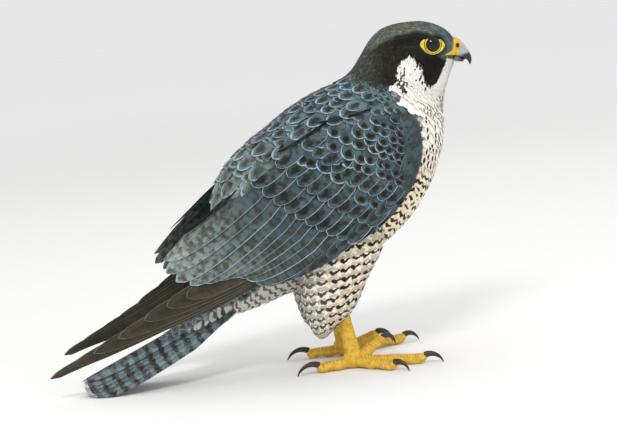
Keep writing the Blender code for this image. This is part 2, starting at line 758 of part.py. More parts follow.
def swept(centres, radii, sides):
    """A tube of round sections square to its path, which lies in one upright plane."""
    step = np.gradient(centres, axis=0)
    step = step / np.linalg.norm(step, axis=1)[:, None]
    level = np.cross(step, [0, 0, 1.0])
    level = level / np.linalg.norm(level, axis=1)[:, None]
    rise = np.cross(level, step)
    angles = np.arange(sides) / sides * math.tau
    spoke = level[:, None] * np.cos(angles)[:, None] + rise[:, None] * np.sin(angles)[:, None]
    return centres[:, None] + spoke * np.asarray(radii)[:, None, None]


def on_floor(rings):
    """Nothing below the floor: what dips under it becomes a small flat."""
    rings = rings.copy()
    rings[..., 2] = np.maximum(rings[..., 2], 0.0)
    return rings


def toe_path(toe, side):
    """Centres and radii of a toe from inside the foot to its last pad, with a pad under each joint."""
    heading, length, radius, lift = toe[:4]
    share = np.array([0.0, 0.18, 0.31, 0.43, 0.58, 0.72, 0.86, 1.0])
    pads = np.exp(-(((share - 0.42) / 0.11) ** 2)) + np.exp(-(((share - 0.84) / 0.12) ** 2))
    radii = radius * (1.0 - 0.20 * share + 0.16 * pads)
    radii[-1] *= 0.74
    height = radii - PAD_DIP + 1.5 * (1 - np.clip(pads, 0, 1)) * (share < 0.9) + lift * share
    height[-1] = height[-2] + 2.0
    heading = math.radians(heading) * -side
    ahead = FOOT_CENTRE[0] + length * share * math.cos(heading)
    beside = side * LEG_Y + length * share * math.sin(heading)
    return np.stack([ahead, beside, height], -1), radii


def claw_shape(centres, radii, toe):
    """A claw as a tapered tube on an arc that rises out of the toe's end and curves down to the floor."""
    length, first, last = toe[4:]
    share = np.linspace(0, 1, 6)
    angle = np.radians(first + (last - first) * share)
    step = length / (len(share) - 1)
    ahead = centres[-1] - centres[-2]
    ahead[2] = 0
    ahead = ahead / np.linalg.norm(ahead)
    run = np.concatenate([[0], np.cumsum(np.cos(angle[:-1]) * step)])
    rise = np.concatenate([[0], np.cumsum(np.sin(angle[:-1]) * step)])
    start = centres[-1] + ahead * -1.6 + np.array([0, 0, 0.9])
    path = start + ahead * run[:, None] + np.array([0, 0, 1.0]) * rise[:, None]
    width = CLAW_RADIUS * (1 - share**1.35 * 0.9)
    rings = swept(path, width, 6)
    rings[..., 2] = np.maximum(rings[..., 2], 0.5)
    return loft(rings)


def make_leg(name, side, torso_cut, wing_cut):
    thigh = add("thigh_" + name, thigh_shape(side), "pale_plumage")
    carve(thigh, [torso_cut, wing_cut])
    centre = (FOOT_CENTRE[0], side * LEG_Y, FOOT_CENTRE[1])
    add("foot_" + name, foot_ball(centre, 0.0), "yellow_skin")
    foot_cut = cutter(*foot_ball(centre, GAP))
    tarsus = add("tarsus_" + name, tarsus_shape(side), "yellow_skin")
    carve(tarsus, [cutter(*thigh_shape(side, GAP)), foot_cut])
    before = [foot_cut]
    for toe_name in ("middle_toe", "inner_toe", "outer_toe", "hallux"):
        toe = TOES[toe_name]
        centres, radii = toe_path(toe, side)
        piece = add(f"{toe_name}_{name}", loft(on_floor(swept(centres, radii, 8))), "yellow_skin")
        carve(piece, before)
        grown = centres.copy()
        grown[-1] += (centres[-1] - centres[-2]) / np.linalg.norm(centres[-1] - centres[-2]) * GAP
        toe_cut = cutter(*loft(swept(grown, radii + GAP, 8)))
        before.append(toe_cut)
        claw = add(f"{toe_name}_claw_{name}", claw_shape(centres, radii, toe), "horn")
        carve(claw, [toe_cut])


def foot_ball(centre, grow):
    points, faces = ball(centre, [radius + grow for radius in FOOT_RADII], 12, 9)
    points[:, 2] = np.maximum(points[:, 2], -grow)
    return points, faces


def main():
    add("neck", body_part(np.linspace(HEAD_END, NECK_END, 6), BODY_SIDES, True), "pale_plumage")
    add("torso", body_part(np.linspace(NECK_END, TORSO_END, 20), BODY_SIDES, False), "pale_plumage")
    make_head()
    make_bill()
    torso_rings = body_rings(np.linspace(NECK_END, TORSO_END, 20), BODY_SIDES, GAP)
    torso_cut = cutter(*loft(stand(torso_rings)), "torso_cut")
    make_wings(torso_cut)
    make_tail(torso_cut)
    wing_core = loft(stand(wing_body_rings(GAP)))
    for name, side in SIDES.items():
        wing_cut = cutter(mirrored(wing_core[0], side), wing_core[1])
        make_leg(name, side, torso_cut, wing_cut)
    for obj in list(CUTTERS.objects):
        bpy.data.objects.remove(obj)
    bpy.data.collections.remove(CUTTERS)


clear_scene()
BIRD = bpy.data.collections.new("peregrine_falcon")
CUTTERS = bpy.data.collections.new("cutters")
bpy.context.scene.collection.children.link(BIRD)
bpy.context.scene.collection.children.link(CUTTERS)
main()
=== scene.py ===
"""Dresses the standing peregrine falcon: skin, plumage, eyes, bill and feet, on a pale floor.

Every form is worked out in millimetres in the drawn pose, pitched forward about the feet, and put down in
metres. Surfaces are functions of two parameters, and feathers are thin closed vanes laid on them.
"""

import math

import bpy
import numpy as np
from mathutils import Matrix, Vector


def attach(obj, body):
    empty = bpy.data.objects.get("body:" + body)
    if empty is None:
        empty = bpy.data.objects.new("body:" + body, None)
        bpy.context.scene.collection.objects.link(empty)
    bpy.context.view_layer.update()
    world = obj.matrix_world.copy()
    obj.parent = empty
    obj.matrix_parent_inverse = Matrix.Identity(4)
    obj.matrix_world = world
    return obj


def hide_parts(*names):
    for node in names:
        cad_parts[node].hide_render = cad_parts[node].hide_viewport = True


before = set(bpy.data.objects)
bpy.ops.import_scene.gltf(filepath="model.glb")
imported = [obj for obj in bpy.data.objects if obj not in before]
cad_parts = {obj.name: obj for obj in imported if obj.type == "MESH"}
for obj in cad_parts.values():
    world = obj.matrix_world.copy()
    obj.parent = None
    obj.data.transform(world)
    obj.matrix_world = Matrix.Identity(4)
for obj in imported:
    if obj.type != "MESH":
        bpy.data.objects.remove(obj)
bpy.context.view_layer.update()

bl_info = {
    "name": "Peregrine falcon",
    "version": (1, 0, 0),
    "blender": (4, 5, 0),
    "location": "View3D > Sidebar > Falcon",
    "description": "Builds the plumage, eyes, bill and feet of a standing peregrine falcon",
    "category": "Object",
}

MM = 0.001
PITCH = math.radians(6.0)
ORIGIN_X = -67.9
SIDES = {"right": -1.0, "left": 1.0}
SEEDS = {
    "body_roots": 11,
    "head": 21,
    "body": 22,
    "thighs": 31,
    "thigh_roots": 32,
    "wings": 41,
    "wrist_roots": 42,
    "scale_roots": 43,
    "tail": 51,
    "tail_covert_roots": 52,
}

# The body as rings: the back's x and z, the underside's x and z, half width, widest level, fullness.
BODY = np.array(
    [
        (79.3, 271.8, 79.2, 252.8, 7.4, 0.50, 2.2),
        (75.6, 275.0, 79.0, 250.6, 11.2, 0.50, 2.2),
        (69.6, 279.6, 78.1, 247.2, 15.2, 0.48, 2.2),
        (61.4, 283.1, 76.4, 243.0, 18.2, 0.46, 2.2),
        (51.6, 285.0, 74.7, 237.6, 20.4, 0.46, 2.2),
        (40.1, 284.5, 73.1, 230.9, 22.0, 0.47, 2.1),
        (28.4, 282.5, 71.8, 224.2, 23.4, 0.48, 2.0),
        (17.1, 278.1, 71.0, 217.5, 24.8, 0.49, 2.0),
        (7.9, 269.3, 70.7, 210.8, 27.0, 0.50, 2.0),
        (0.0, 255.9, 71.2, 203.3, 31.0, 0.50, 2.0),
        (-8.3, 243.4, 71.0, 194.1, 37.0, 0.50, 2.05),
        (-21.7, 234.2, 69.6, 180.8, 43.5, 0.49, 2.1),
        (-39.5, 226.3, 65.6, 166.2, 48.5, 0.49, 2.15),
        (-58.6, 214.6, 59.4, 148.2, 51.0, 0.49, 2.15),
        (-79.5, 198.0, 47.4, 127.3, 51.0, 0.49, 2.1),
        (-100.5, 181.0, 30.6, 107.7, 48.5, 0.50, 2.0),
        (-116.0, 163.0, 9.0, 89.8, 44.0, 0.52, 1.85),
        (-125.0, 143.5, -16.7, 74.7, 37.5, 0.54, 1.75),
        (-126.0, 121.0, -43.4, 63.9, 30.0, 0.54, 1.75),
        (-122.5, 100.5, -66.8, 54.7, 23.0, 0.53, 1.8),
        (-120.5, 83.5, -86.8, 46.3, 17.5, 0.51, 1.9),
        (-120.5, 69.5, -101.9, 41.3, 12.5, 0.50, 2.0),
    ]
)
BODY_END = len(BODY) - 1.0
EYE_CENTRE = (57.3, 15.2, 265.4)
EYE_RADIUS = 8.0
EYE_TURN = math.radians(15.0)
EYE_LEVEL = 20.2
EYE_LEAN = 0.10
SOCKET_WIDTH = 10.0
BROW_RISE = 1.6
BROW_CENTRE = (60.0, 275.0)
LID_INNER = 5.9
LID_MIDDLE = 7.2
LID_CORNERS = (10.6, 11.2)
LID_HEIGHTS = (6.3, 8.3)

# Bill and cere as rings: ridge x and z, lower edge x and z, half width
CERE = np.array(
    [
        (79.0, 271.9, 79.0, 256.8, 7.0),
        (79.7, 271.6, 79.7, 256.6, 7.2),
        (81.6, 271.4, 79.9, 256.0, 7.5),
        (84.2, 269.6, 80.8, 255.6, 7.1),
        (85.6, 268.3, 81.5, 255.4, 6.6),
    ]
)
BILL_UPPER = np.array(
    [
        (85.3, 267.5, 81.4, 255.4, 6.2),
        (86.0, 267.9, 81.9, 255.3, 6.3),
        (88.4, 265.8, 83.6, 254.8, 5.7),
        (90.6, 262.6, 85.8, 254.3, 4.8),
        (92.7, 259.5, 87.7, 253.0, 3.9),
        (94.2, 256.4, 89.4, 253.5, 3.0),
        (94.8, 253.5, 91.2, 252.5, 2.1),
        (94.6, 251.1, 92.5, 250.8, 1.2),
        (93.9, 249.1, 93.3, 249.0, 0.35),
    ]
)
BILL_LOWER = np.array(
    [
        (79.0, 255.4, 79.0, 252.0, 6.0),
        (79.7, 255.3, 79.7, 251.9, 6.0),
        (82.6, 254.6, 82.5, 251.4, 5.5),
        (85.4, 253.6, 85.2, 251.3, 4.4),
        (87.6, 252.3, 87.5, 251.4, 2.8),
    ]
)
NOSTRIL = (81.2, 264.8)
# How far back over the body's rings the bare skin runs, at shares of the way down to the gape
CERE_BACK = np.array([(0.0, 0.12), (0.36, 0.35), (0.70, 1.0), (0.85, 1.6), (0.93, 2.5), (1.0, 3.7)])
GAPE_TURN = 2.13
GAPE_SLOPE = 0.078

# The folded wing's sheet: back edge's x, z and distance out, then the lower edge's
WING = np.array(
    [
        (41.0, 207.0, 44.0, 44.0, 175.1, 50.0),
        (29.0, 213.0, 43.0, 38.0, 164.5, 53.5),
        (6.3, 216.0, 42.0, 26.0, 142.7, 56.5),
        (-15.5, 213.5, 40.5, 9.2, 125.0, 58.0),
        (-39.0, 206.0, 39.0, -14.1, 108.3, 57.0),
        (-61.8, 192.6, 35.0, -38.8, 92.4, 54.0),
        (-83.0, 174.4, 29.0, -65.1, 79.7, 50.0),
        (-102.7, 152.7, 21.0, -88.1, 71.5, 45.5),
        (-124.2, 134.0, 13.0, -116.7, 55.4, 39.0),
        (-145.8, 114.0, 9.0, -147.0, 42.4, 33.0),
        (-169.1, 86.0, 7.5, -178.1, 26.3, 27.0),
        (-195.0, 56.0, 7.5, -206.7, 13.3, 21.5),
        (-226.0, 26.0, 8.0, -233.7, 2.2, 16.0),
        (-258.0, 0.0, 8.5, -259.0, -9.8, 11.5),
    ]
)
WING_TURN = math.radians(105.0)
WING_BODY_END = 7.6
WING_ROUND = 9.0
WING_SINK = 5.2
WING_DEPTH = 17.0

# How the left wing's feathers are moved: at a place along x, how far ahead and how far up
FAR_WING = np.array(
    [
        (-257.0, 11.0, 15.0),
        (-225.0, 4.5, 10.5),
        (-190.0, -3.0, 5.5),
        (-160.0, -8.0, 2.5),
        (-120.0, -8.5, 6.0),
        (-80.0, -5.0, 5.0),
        (-40.0, -1.5, 1.5),
        (0.0, 0.0, 0.0),
    ]
)

# Tips of the folded flight feathers in the side view, from the top or longest
SECONDARY_ROOTS = ((-66.0, 178.0), (-22.0, 112.0))
SECONDARY_TIPS = np.array(
    [
        (-164.0, 91.0),
        (-162.5, 81.0),
        (-155.0, 74.5),
        (-144.0, 72.0),
        (-134.0, 74.0),
        (-124.5, 77.0),
        (-115.5, 79.5),
        (-107.0, 79.5),
        (-99.0, 77.0),
        (-91.0, 73.5),
        (-83.0, 70.5),
    ]
)
PRIMARY_TIPS = np.array(
    [
        (-257.5, -6.5),
        (-240.0, 4.2),
        (-222.5, 14.8),
        (-202.5, 27.4),
        (-181.0, 42.5),
        (-163.0, 54.0),
        (-147.0, 62.0),
    ]
)
PRIMARY_ROOT = (-62.0, 90.0)
# Tiers of larger coverts: how many, first and last tip, how far their line bows down, length and width
COVERT_TIERS = (
    (11, (-93.0, 151.0), (-10.0, 105.0), 6.0, 40.0, 17.0),
    (11, (-74.0, 167.0), (6.0, 118.0), 6.0, 34.0, 15.0),
    (11, (-53.0, 182.0), (20.0, 136.0), 5.0, 28.0, 13.0),
)

TAIL_ROOT = (-96.0, 61.0)
TAIL_DIP = math.radians(29.0)
TAIL_LENGTH = 154.0
TAIL_ROOF = 0.034
# The coverts' cone round the tail's root: reach along its axis, rise above, drop below, half width
TAIL_COVERTS = np.array(
    [
        (8.0, 13.0, 10.0, 10.0),
        (17.0, 18.6, 13.6, 12.3),
        (30.0, 15.6, 14.6, 13.0),
        (46.0, 9.6, 12.8, 13.4),
        (62.0, 5.2, 9.4, 12.4),
        (76.0, 2.8, 5.6, 9.6),
        (86.0, 1.0, 2.2, 5.0),
    ]
)

# The thigh as rings: front edge's x and z, rear edge's x and z, half width
THIGH = np.array(
    [
        (9.0, 124.0, -46.0, 112.0, 15.0),
        (15.0, 108.0, -52.0, 95.0, 20.0),
        (10.0, 92.4, -53.9, 79.2, 21.5),
        (2.9, 79.2, -52.4, 64.0, 20.0),
        (-2.9, 65.0, -50.0, 51.0, 17.5),
        (-8.4, 52.5, -46.0, 39.5, 14.5),
        (-15.5, 44.2, -42.0, 30.8, 11.0),
        (-25.0, 35.5, -38.0, 26.2, 6.5),
        (-31.0, 27.5, -35.0, 25.0, 1.6),
    ]
)
LEG_Y = 27.0
TARSUS_TOP = (-21.0, 54.0)
TARSUS_FOOT = (-7.5, 9.5)
TARSUS_RADII = np.array(((5.8, 5.2), (5.6, 4.8), (5.6, 4.6), (6.0, 4.9), (6.8, 5.8)))
FOOT_CENTRE = (-8.0, 8.0)
FOOT_RADII = (8.8, 7.8, 8.4)
# Toes: heading in degrees, length, radius and lift, then the claw's length and its first and last slope
TOES = {
    "hallux": (188.0, 32.0, 4.4, 0.0, 24.0, 26.0, -74.0),
    "inner_toe": (27.0, 33.0, 4.2, 15.0, 19.0, 22.0, -96.0),
    "middle_toe": (-18.0, 61.0, 4.5, 0.0, 19.0, 22.0, -78.0),
    "outer_toe": (-46.0, 43.0, 4.2, 0.0, 18.0, 22.0, -78.0),
}
CLAW_RADIUS = 2.7

# Markings, as outlines seen from the side: the pale underparts, and the grey of crown and forehead
PALE_OUTLINE = np.array(
    [
        (80.0, 255.6),
        (70.3, 255.1),
        (67.2, 246.1),
        (62.3, 237.0),
        (57.8, 232.2),
        (52.3, 233.4),
        (49.7, 240.6),
        (48.7, 247.9),
        (44.2, 255.1),
        (38.6, 257.3),
        (32.7, 253.9),
        (27.7, 246.4),
        (26.9, 238.9),
        (25.2, 233.9),
        (19.4, 230.5),
        (23.5, 224.7),
        (30.2, 218.0),
        (40.2, 209.7),
        (46.9, 199.7),
        (49.4, 187.1),
        (46.9, 174.6),
        (41.9, 160.4),
        (34.4, 143.7),
        (13.5, 124.5),
        (-19.9, 99.4),
        (-53.3, 85.2),
        (-85.0, 68.5),
        (-95.1, 61.9),
        (-150.0, 20.0),
        (-150.0, -60.0),
        (160.0, -60.0),
        (160.0, 255.6),
    ]
)
CROWN_OUTLINE = np.array(
    [
        (-20.0, 300.0),
        (-14.0, 262.0),
        (0.0, 264.0),
        (13.5, 268.4),
        (29.5, 273.8),
        (43.5, 277.6),
        (51.0, 276.0),
        (64.4, 274.9),
        (69.7, 269.4),
        (66.9, 261.9),
        (63.5, 258.6),
        (68.0, 256.8),
        (84.0, 257.0),
        (84.0, 300.0),
    ]
)


def along(rows, place):
    """A smooth curve through the rows: each span blends four neighbouring rows by Catmull and Rom's cubic."""
    place = np.clip(np.asarray(place, float), 0, len(rows) - 1 - 1e-9)
    index = place.astype(int)
    share = (place - index)[..., None]
    before, here, after, beyond = (rows[np.clip(index + k, 0, len(rows) - 1)] for k in (-1, 0, 1, 2))
    return 0.5 * (
        2 * here
        + (after - before) * share
        + (2 * before - 5 * here + 4 * after - beyond) * share**2
        + (3 * here - 3 * after + beyond - before) * share**3
    )


def eased(value):
    """A smooth step from 0 to 1: three times the square less twice the cube."""
    value = np.clip(value, 0.0, 1.0)
    return value * value * (3 - 2 * value)


def soft_spot(across, along_it=0.0):
    """One at the middle, fading with the squares of both distances."""
    return np.exp(-(across**2) - along_it**2)


def ring_grid(start, end, rings, sides):
    """A grid of places from start to end and of whole turns shared out in so many sides."""
    return np.meshgrid(np.linspace(start, end, rings), whole_turn(sides), indexing="ij")


def whole_turn(sides):
    """Angles once round, without the last, which is the first again."""
    return np.arange(sides) / sides * math.tau


def sideways(points, sign):
    """The points with their distance to the left multiplied by sign."""
    return points * np.array([1.0, sign, 1.0])


HEAD_LINE = 240.0


def head_height(points):
    """Height plus a quarter of the way forward, by which the head is told from the body."""
    return points[..., 2] + 0.25 * points[..., 0]


def on_head(points):
    """True above HEAD_LINE."""
    return head_height(points) > HEAD_LINE


def stand(points):
    """The drawn pose turned forward by PITCH about the feet, in metres of the model's own frame."""
    x, y, z = np.moveaxis(np.asarray(points, float), -1, 0)
    cos, sin = math.cos(PITCH), math.sin(PITCH)
    return np.stack([x * cos + z * sin - ORIGIN_X, y, z * cos - x * sin], -1) * MM


def oval(angles, fullness):
    """Cosine and sine with their sizes raised to 2 / fullness, which fills out a circle's corners."""
    cos, sin = np.cos(angles), np.sin(angles)
    power = 2.0 / fullness
    return np.sign(cos) * np.abs(cos) ** power, np.sign(sin) * np.abs(sin) ** power


STEP = 0.01


def lifted(surface, first, second, lift, outward=-1.0):
    """A point of the surface plus its unit normal, from small steps of both parameters, times lift."""
    base = surface(first, second)
    normal = np.cross(surface(first + STEP, second) - base, surface(first, second + STEP) - base) * outward
    size = np.linalg.norm(normal, axis=-1, keepdims=True)
    return base + normal / np.maximum(size, 1e-9) * np.asarray(lift)[..., None]


def body_surface(place, turn):
    """The body's rings: from a point of the axis, up or down by the ring's cosine and out by its sine."""
    rows = along(BODY, place)
    up, out = oval(turn, rows[..., 6])
    back, under = rows[..., 0:2], rows[..., 2:4]
    middle = back + (under - back) * rows[..., 5:6]
    reach = np.where(up[..., None] > 0, back - middle, middle - under)
    plane = middle + reach * up[..., None]
    x, y, z = plane[..., 0], rows[..., 4] * out, plane[..., 1]
    near, side = np.abs(y) > 4.0, np.abs(y)
    from_eye = np.hypot(x - EYE_CENTRE[0], z - EYE_CENTRE[2]) / SOCKET_WIDTH
    from_brow = np.hypot((x - BROW_CENTRE[0]) / 9.0, (z - BROW_CENTRE[1]) / 3.6)
    share = np.exp(-(from_eye**4))
    level = EYE_LEVEL - EYE_LEAN * (x - EYE_CENTRE[0])
    relief = BROW_RISE * np.exp(-(from_brow**2)) * (1 - share) + (level - side) * share
    return np.stack([x, y + np.sign(y) * relief * near, z], -1)


def pair_surface(rows, place, turn, fullness, widest):
    """Rings between an upper and a lower edge, as on the body, with one fullness and widest level."""
    row = along(rows, place)
    up, out = oval(turn, fullness)
    top, low = row[..., 0:2], row[..., 2:4]
    middle = top + (low - top) * widest
    plane = middle + np.where(up[..., None] > 0, top - middle, middle - low) * up[..., None]
    return np.stack([plane[..., 0], row[..., 4] * out, plane[..., 1]], -1)


def thigh_surface(place, turn):
    """The right thigh: its rings moved out from the midplane by LEG_Y."""
    points = pair_surface(THIGH, place, turn, 2.0, 0.5)
    return points - np.array([0.0, LEG_Y, 0.0])


def wing_sheet(place, down, lift):
    """Arcs of ellipses from the back edge to the lower edge, plus lift along the arc's own normal."""
    rows = along(WING, place)
    top, low = rows[..., 0:2], rows[..., 3:5]
    wide = rows[..., 5] / math.sin(WING_TURN)
    start = np.arcsin(np.clip(rows[..., 2] / wide, 0, 1))
    span = np.cos(start) - math.cos(WING_TURN)
    length = np.linalg.norm(top - low, axis=-1)
    upward = (top - low) / length[..., None]
    tall = length / span
    cos = np.clip(np.cos(start) - down * span, -0.999, 0.999)
    sin = np.sqrt(1 - cos * cos)
    plane = top + upward * (tall * (cos - np.cos(start)))[..., None]
    normal_up, normal_out = cos / tall, sin / wide
    size = np.hypot(normal_up, normal_out)
    plane = plane + upward * (lift * normal_up / size)[..., None]
    across = -(wide * sin + lift * normal_out / size)
    return np.stack([plane[..., 0], across, plane[..., 1]], -1)


def wing_core(place, down):
    """How far the wing's core lies under its sheet: rounded at the wrist, thin at the edges, sunk behind."""
    front = np.clip(1 - place / 1.1, 0, 1)
    rear = eased((place - 4.6) / 2.2)
    rim = np.abs(2 * np.clip(down, 0, 1) - 1) ** 6
    return -WING_ROUND * (1 - np.sqrt(1 - front**2 * 0.999)) - WING_SINK * rear - 3.0 * rim


def wing_place(x, z):
    """Where on the wing's sheet a point of the side view falls: the row whose chord passes through it."""
    table = np.linspace(0, len(WING) - 1, 300)
    rows = along(WING, table)
    chord = rows[:, 3:5] - rows[:, 0:2]
    x, z = np.asarray(x, float)[..., None], np.asarray(z, float)[..., None]
    side = chord[:, 0] * (z - rows[:, 1]) - chord[:, 1] * (x - rows[:, 0])
    index = np.argmin(np.abs(side) + 1e3 * (np.hypot(x - rows[:, 0], z - rows[:, 1]) > 130), axis=-1)
    index = np.clip(index, 1, len(table) - 2)
    low = np.take_along_axis(side, index[..., None] - 1, -1)
    high = np.take_along_axis(side, index[..., None] + 1, -1)
    share = np.clip(-low / np.where(np.abs(high - low) < 1e-9, 1.0, high - low), 0, 1)[..., 0]
    place = table[index - 1] + share * (table[index + 1] - table[index - 1])
    rows = along(WING, place)
    chord = rows[..., 3:5] - rows[..., 0:2]
    down = (x[..., 0] - rows[..., 0]) * chord[..., 0] + (z[..., 0] - rows[..., 1]) * chord[..., 1]
    return place, down / (chord**2).sum(-1)


def wing_cover(place, down):
    """The core's outer face, carried on round the wrist where place is below zero."""
    held = np.maximum(place, 0.0)
    return wing_sheet(held, down, wing_core(held, down) + np.minimum(place, 0.0) * 9.0)


def tail_surface(reach, across, lift):
    """Along the tail's axis, across it and off it, less a parabola across that makes a roof."""
    cos, sin = math.cos(TAIL_DIP), math.sin(TAIL_DIP)
    rise = lift - TAIL_ROOF * across**2
    x = TAIL_ROOT[0] - reach * cos - rise * sin
    z = TAIL_ROOT[1] - reach * sin + rise * cos
    return np.stack([x, across, z], -1)


def tail_cover(place, turn):
    """The coverts' cone round the tail's root: rise above or drop below its axis, and half width, by row."""
    rows = along(TAIL_COVERTS, place)
    up, out = np.cos(turn), np.sin(turn)
    across = rows[..., 3] * out
    rise = np.where(up > 0, rows[..., 1] * up, rows[..., 2] * up) + TAIL_ROOF * across**2 * 0.6
    return tail_surface(rows[..., 0], across, rise)


def mirrored(points, side):
    """The right side's points moved to this side. The left wing lies a little higher."""
    points = np.array(points, float)
    points[..., 1] *= -side
    if side > 0:
        ahead, up = (np.interp(points[..., 0], FAR_WING[:, 0], FAR_WING[:, k]) for k in (1, 2))
        points[..., 0] += ahead
        points[..., 2] += up
    return points


def outline_depth(points, outline):
    """How far inside the side view's outline each point is, by its nearest edge. Negative is outside."""
    spot = points[..., [0, 2]][..., None, :]
    start, end = outline, np.roll(outline, -1, axis=0)
    edge = end - start
    share = np.clip(((spot - start) * edge).sum(-1) / (edge**2).sum(-1), 0, 1)
    away = np.linalg.norm(spot - start - edge * share[..., None], axis=-1).min(-1)
    crosses = (start[:, 1] > spot[..., 1]) != (end[:, 1] > spot[..., 1])
    slope = np.where(edge[:, 1] == 0, 1e-9, edge[:, 1])
    left = spot[..., 0] < start[:, 0] + (spot[..., 1] - start[:, 1]) * edge[:, 0] / slope
    return np.where((crosses & left).sum(-1) % 2 == 1, away, -away)


def wobble(points, scale, seed):
    """A smooth uneven value from -1 to 1: a few sine waves of unlike directions added up."""
    rng = np.random.default_rng(seed)
    total = 0.0
    for _ in range(5):
        direction = rng.normal(size=3)
        along_it = points @ (direction / np.linalg.norm(direction)) / scale
        total = total + np.sin(along_it * rng.uniform(0.7, 1.6) + rng.uniform(0, 6))
    return total / 3.2


def blend(first, second, share):
    """Colours between first and second, by one share for each point."""
    return first + (second - first) * np.asarray(share)[..., None]


def blend_number(first, second, share):
    """The same for plain numbers."""
    return first + (second - first) * share


def plumage_colours(points):
    """Base, mark and fringe colours, and mark strengths, at drawn places on the head, body and thighs.

    Inside PALE_OUTLINE the feathers are white at the throat, cream on the breast and buff below, with spots
    that turn to bars further down. Outside it they are blackish on the hood, grey in CROWN_OUTLINE, and slate
    on the back. Outlines are as seen in the picture, so a place off the midplane is looked up a little ahead
    of and below itself.
    """
    style = bpy.context.scene.falcon_colours
    white, cream, buff = np.array(style.throat), np.array(style.breast), np.array(style.belly)
    hood, slate, black = np.array(style.hood), np.array(style.mantle), np.array(style.black)
    out = np.abs(points[..., 1])
    x, z = points[..., 0] + 0.12 * (out - 20), points[..., 2] - 0.12 * (out - 24)
    seen = np.stack([x, out, z], -1)
    cheek = soft_spot((x - 31 - 0.25 * (238 - z)) / 6, (z - 235) / 13)
    cheek = cheek + soft_spot((x - 46 - 0.4 * (248 - z)) / 4, (z - 246) / 9)
    ragged = outline_depth(seen, PALE_OUTLINE) + wobble(points, 0.9, 3) * (0.5 + 1.9 * cheek)
    pale = eased(ragged / 1.2 + 0.5)
    under = blend(white, cream, eased((236 - z) / 30))
    under = blend(under, buff, eased((192 - z) / 40))
    hood_line = 232.3 + 3.0 * np.maximum(-5.0 - x, 0.0)
    on_neck = eased((z - hood_line + wobble(points, 2.5, 4) * 1.2 + 2.0) / 4)
    crown = eased((outline_depth(seen, CROWN_OUTLINE) + wobble(points, 3.0, 5) * 1.5) / 5 + 0.5)
    crown_tone = blend(np.array(style.crown), np.array(style.forehead), eased((x - 46) / 18))
    nape = blend(hood, np.array(style.crown) * 0.55, eased((20 - x) / 24))
    around_eye = np.exp(-(np.hypot((x - 58.5) / 13.5, (z - 263.5) / 8.5) ** 6))
    moustache = eased((262 - z) / 8) * eased((x - 40) / 8)
    brow = soft_spot((z - 272 - 0.3 * (x - 45)) / 4) * (x < 60) * (x > 25)
    dark = blend(nape, black, np.maximum(np.maximum(around_eye, moustache), brow))
    dark_head = blend(dark, crown_tone, crown * (1 - around_eye * 0.9))
    back = blend(slate, np.array(style.rump), eased((-45 - x) / 70) * 0.8)
    top = blend(back, dark_head, on_neck)
    tone = blend(top, under, pale)
    vent = eased((-18 - x) / 34) * pale
    tone = blend(tone, np.array(style.vent), vent)
    mark = blend(np.array(style.marks), np.array(style.vent) * 0.22, vent)
    edge = blend(blend(np.array(style.fringe), dark_head * 1.6, on_neck), under * 0.86, pale)
    spot = pale * np.maximum(eased((228 - z) / 12) * eased((z - 160) / 8), np.minimum(cheek * 1.3, 1))
    bars = pale * eased((166 - z) / 10)
    fringe = blend_number((1 - on_neck * 0.4) * 0.85, 0.5, pale)
    centre = (1 - pale) * (1 - on_neck * 0.6) * 0.85
    return tone, mark, edge, np.stack([spot, bars, fringe, centre], -1)


SHARP_ANGLE = math.radians(65.0)


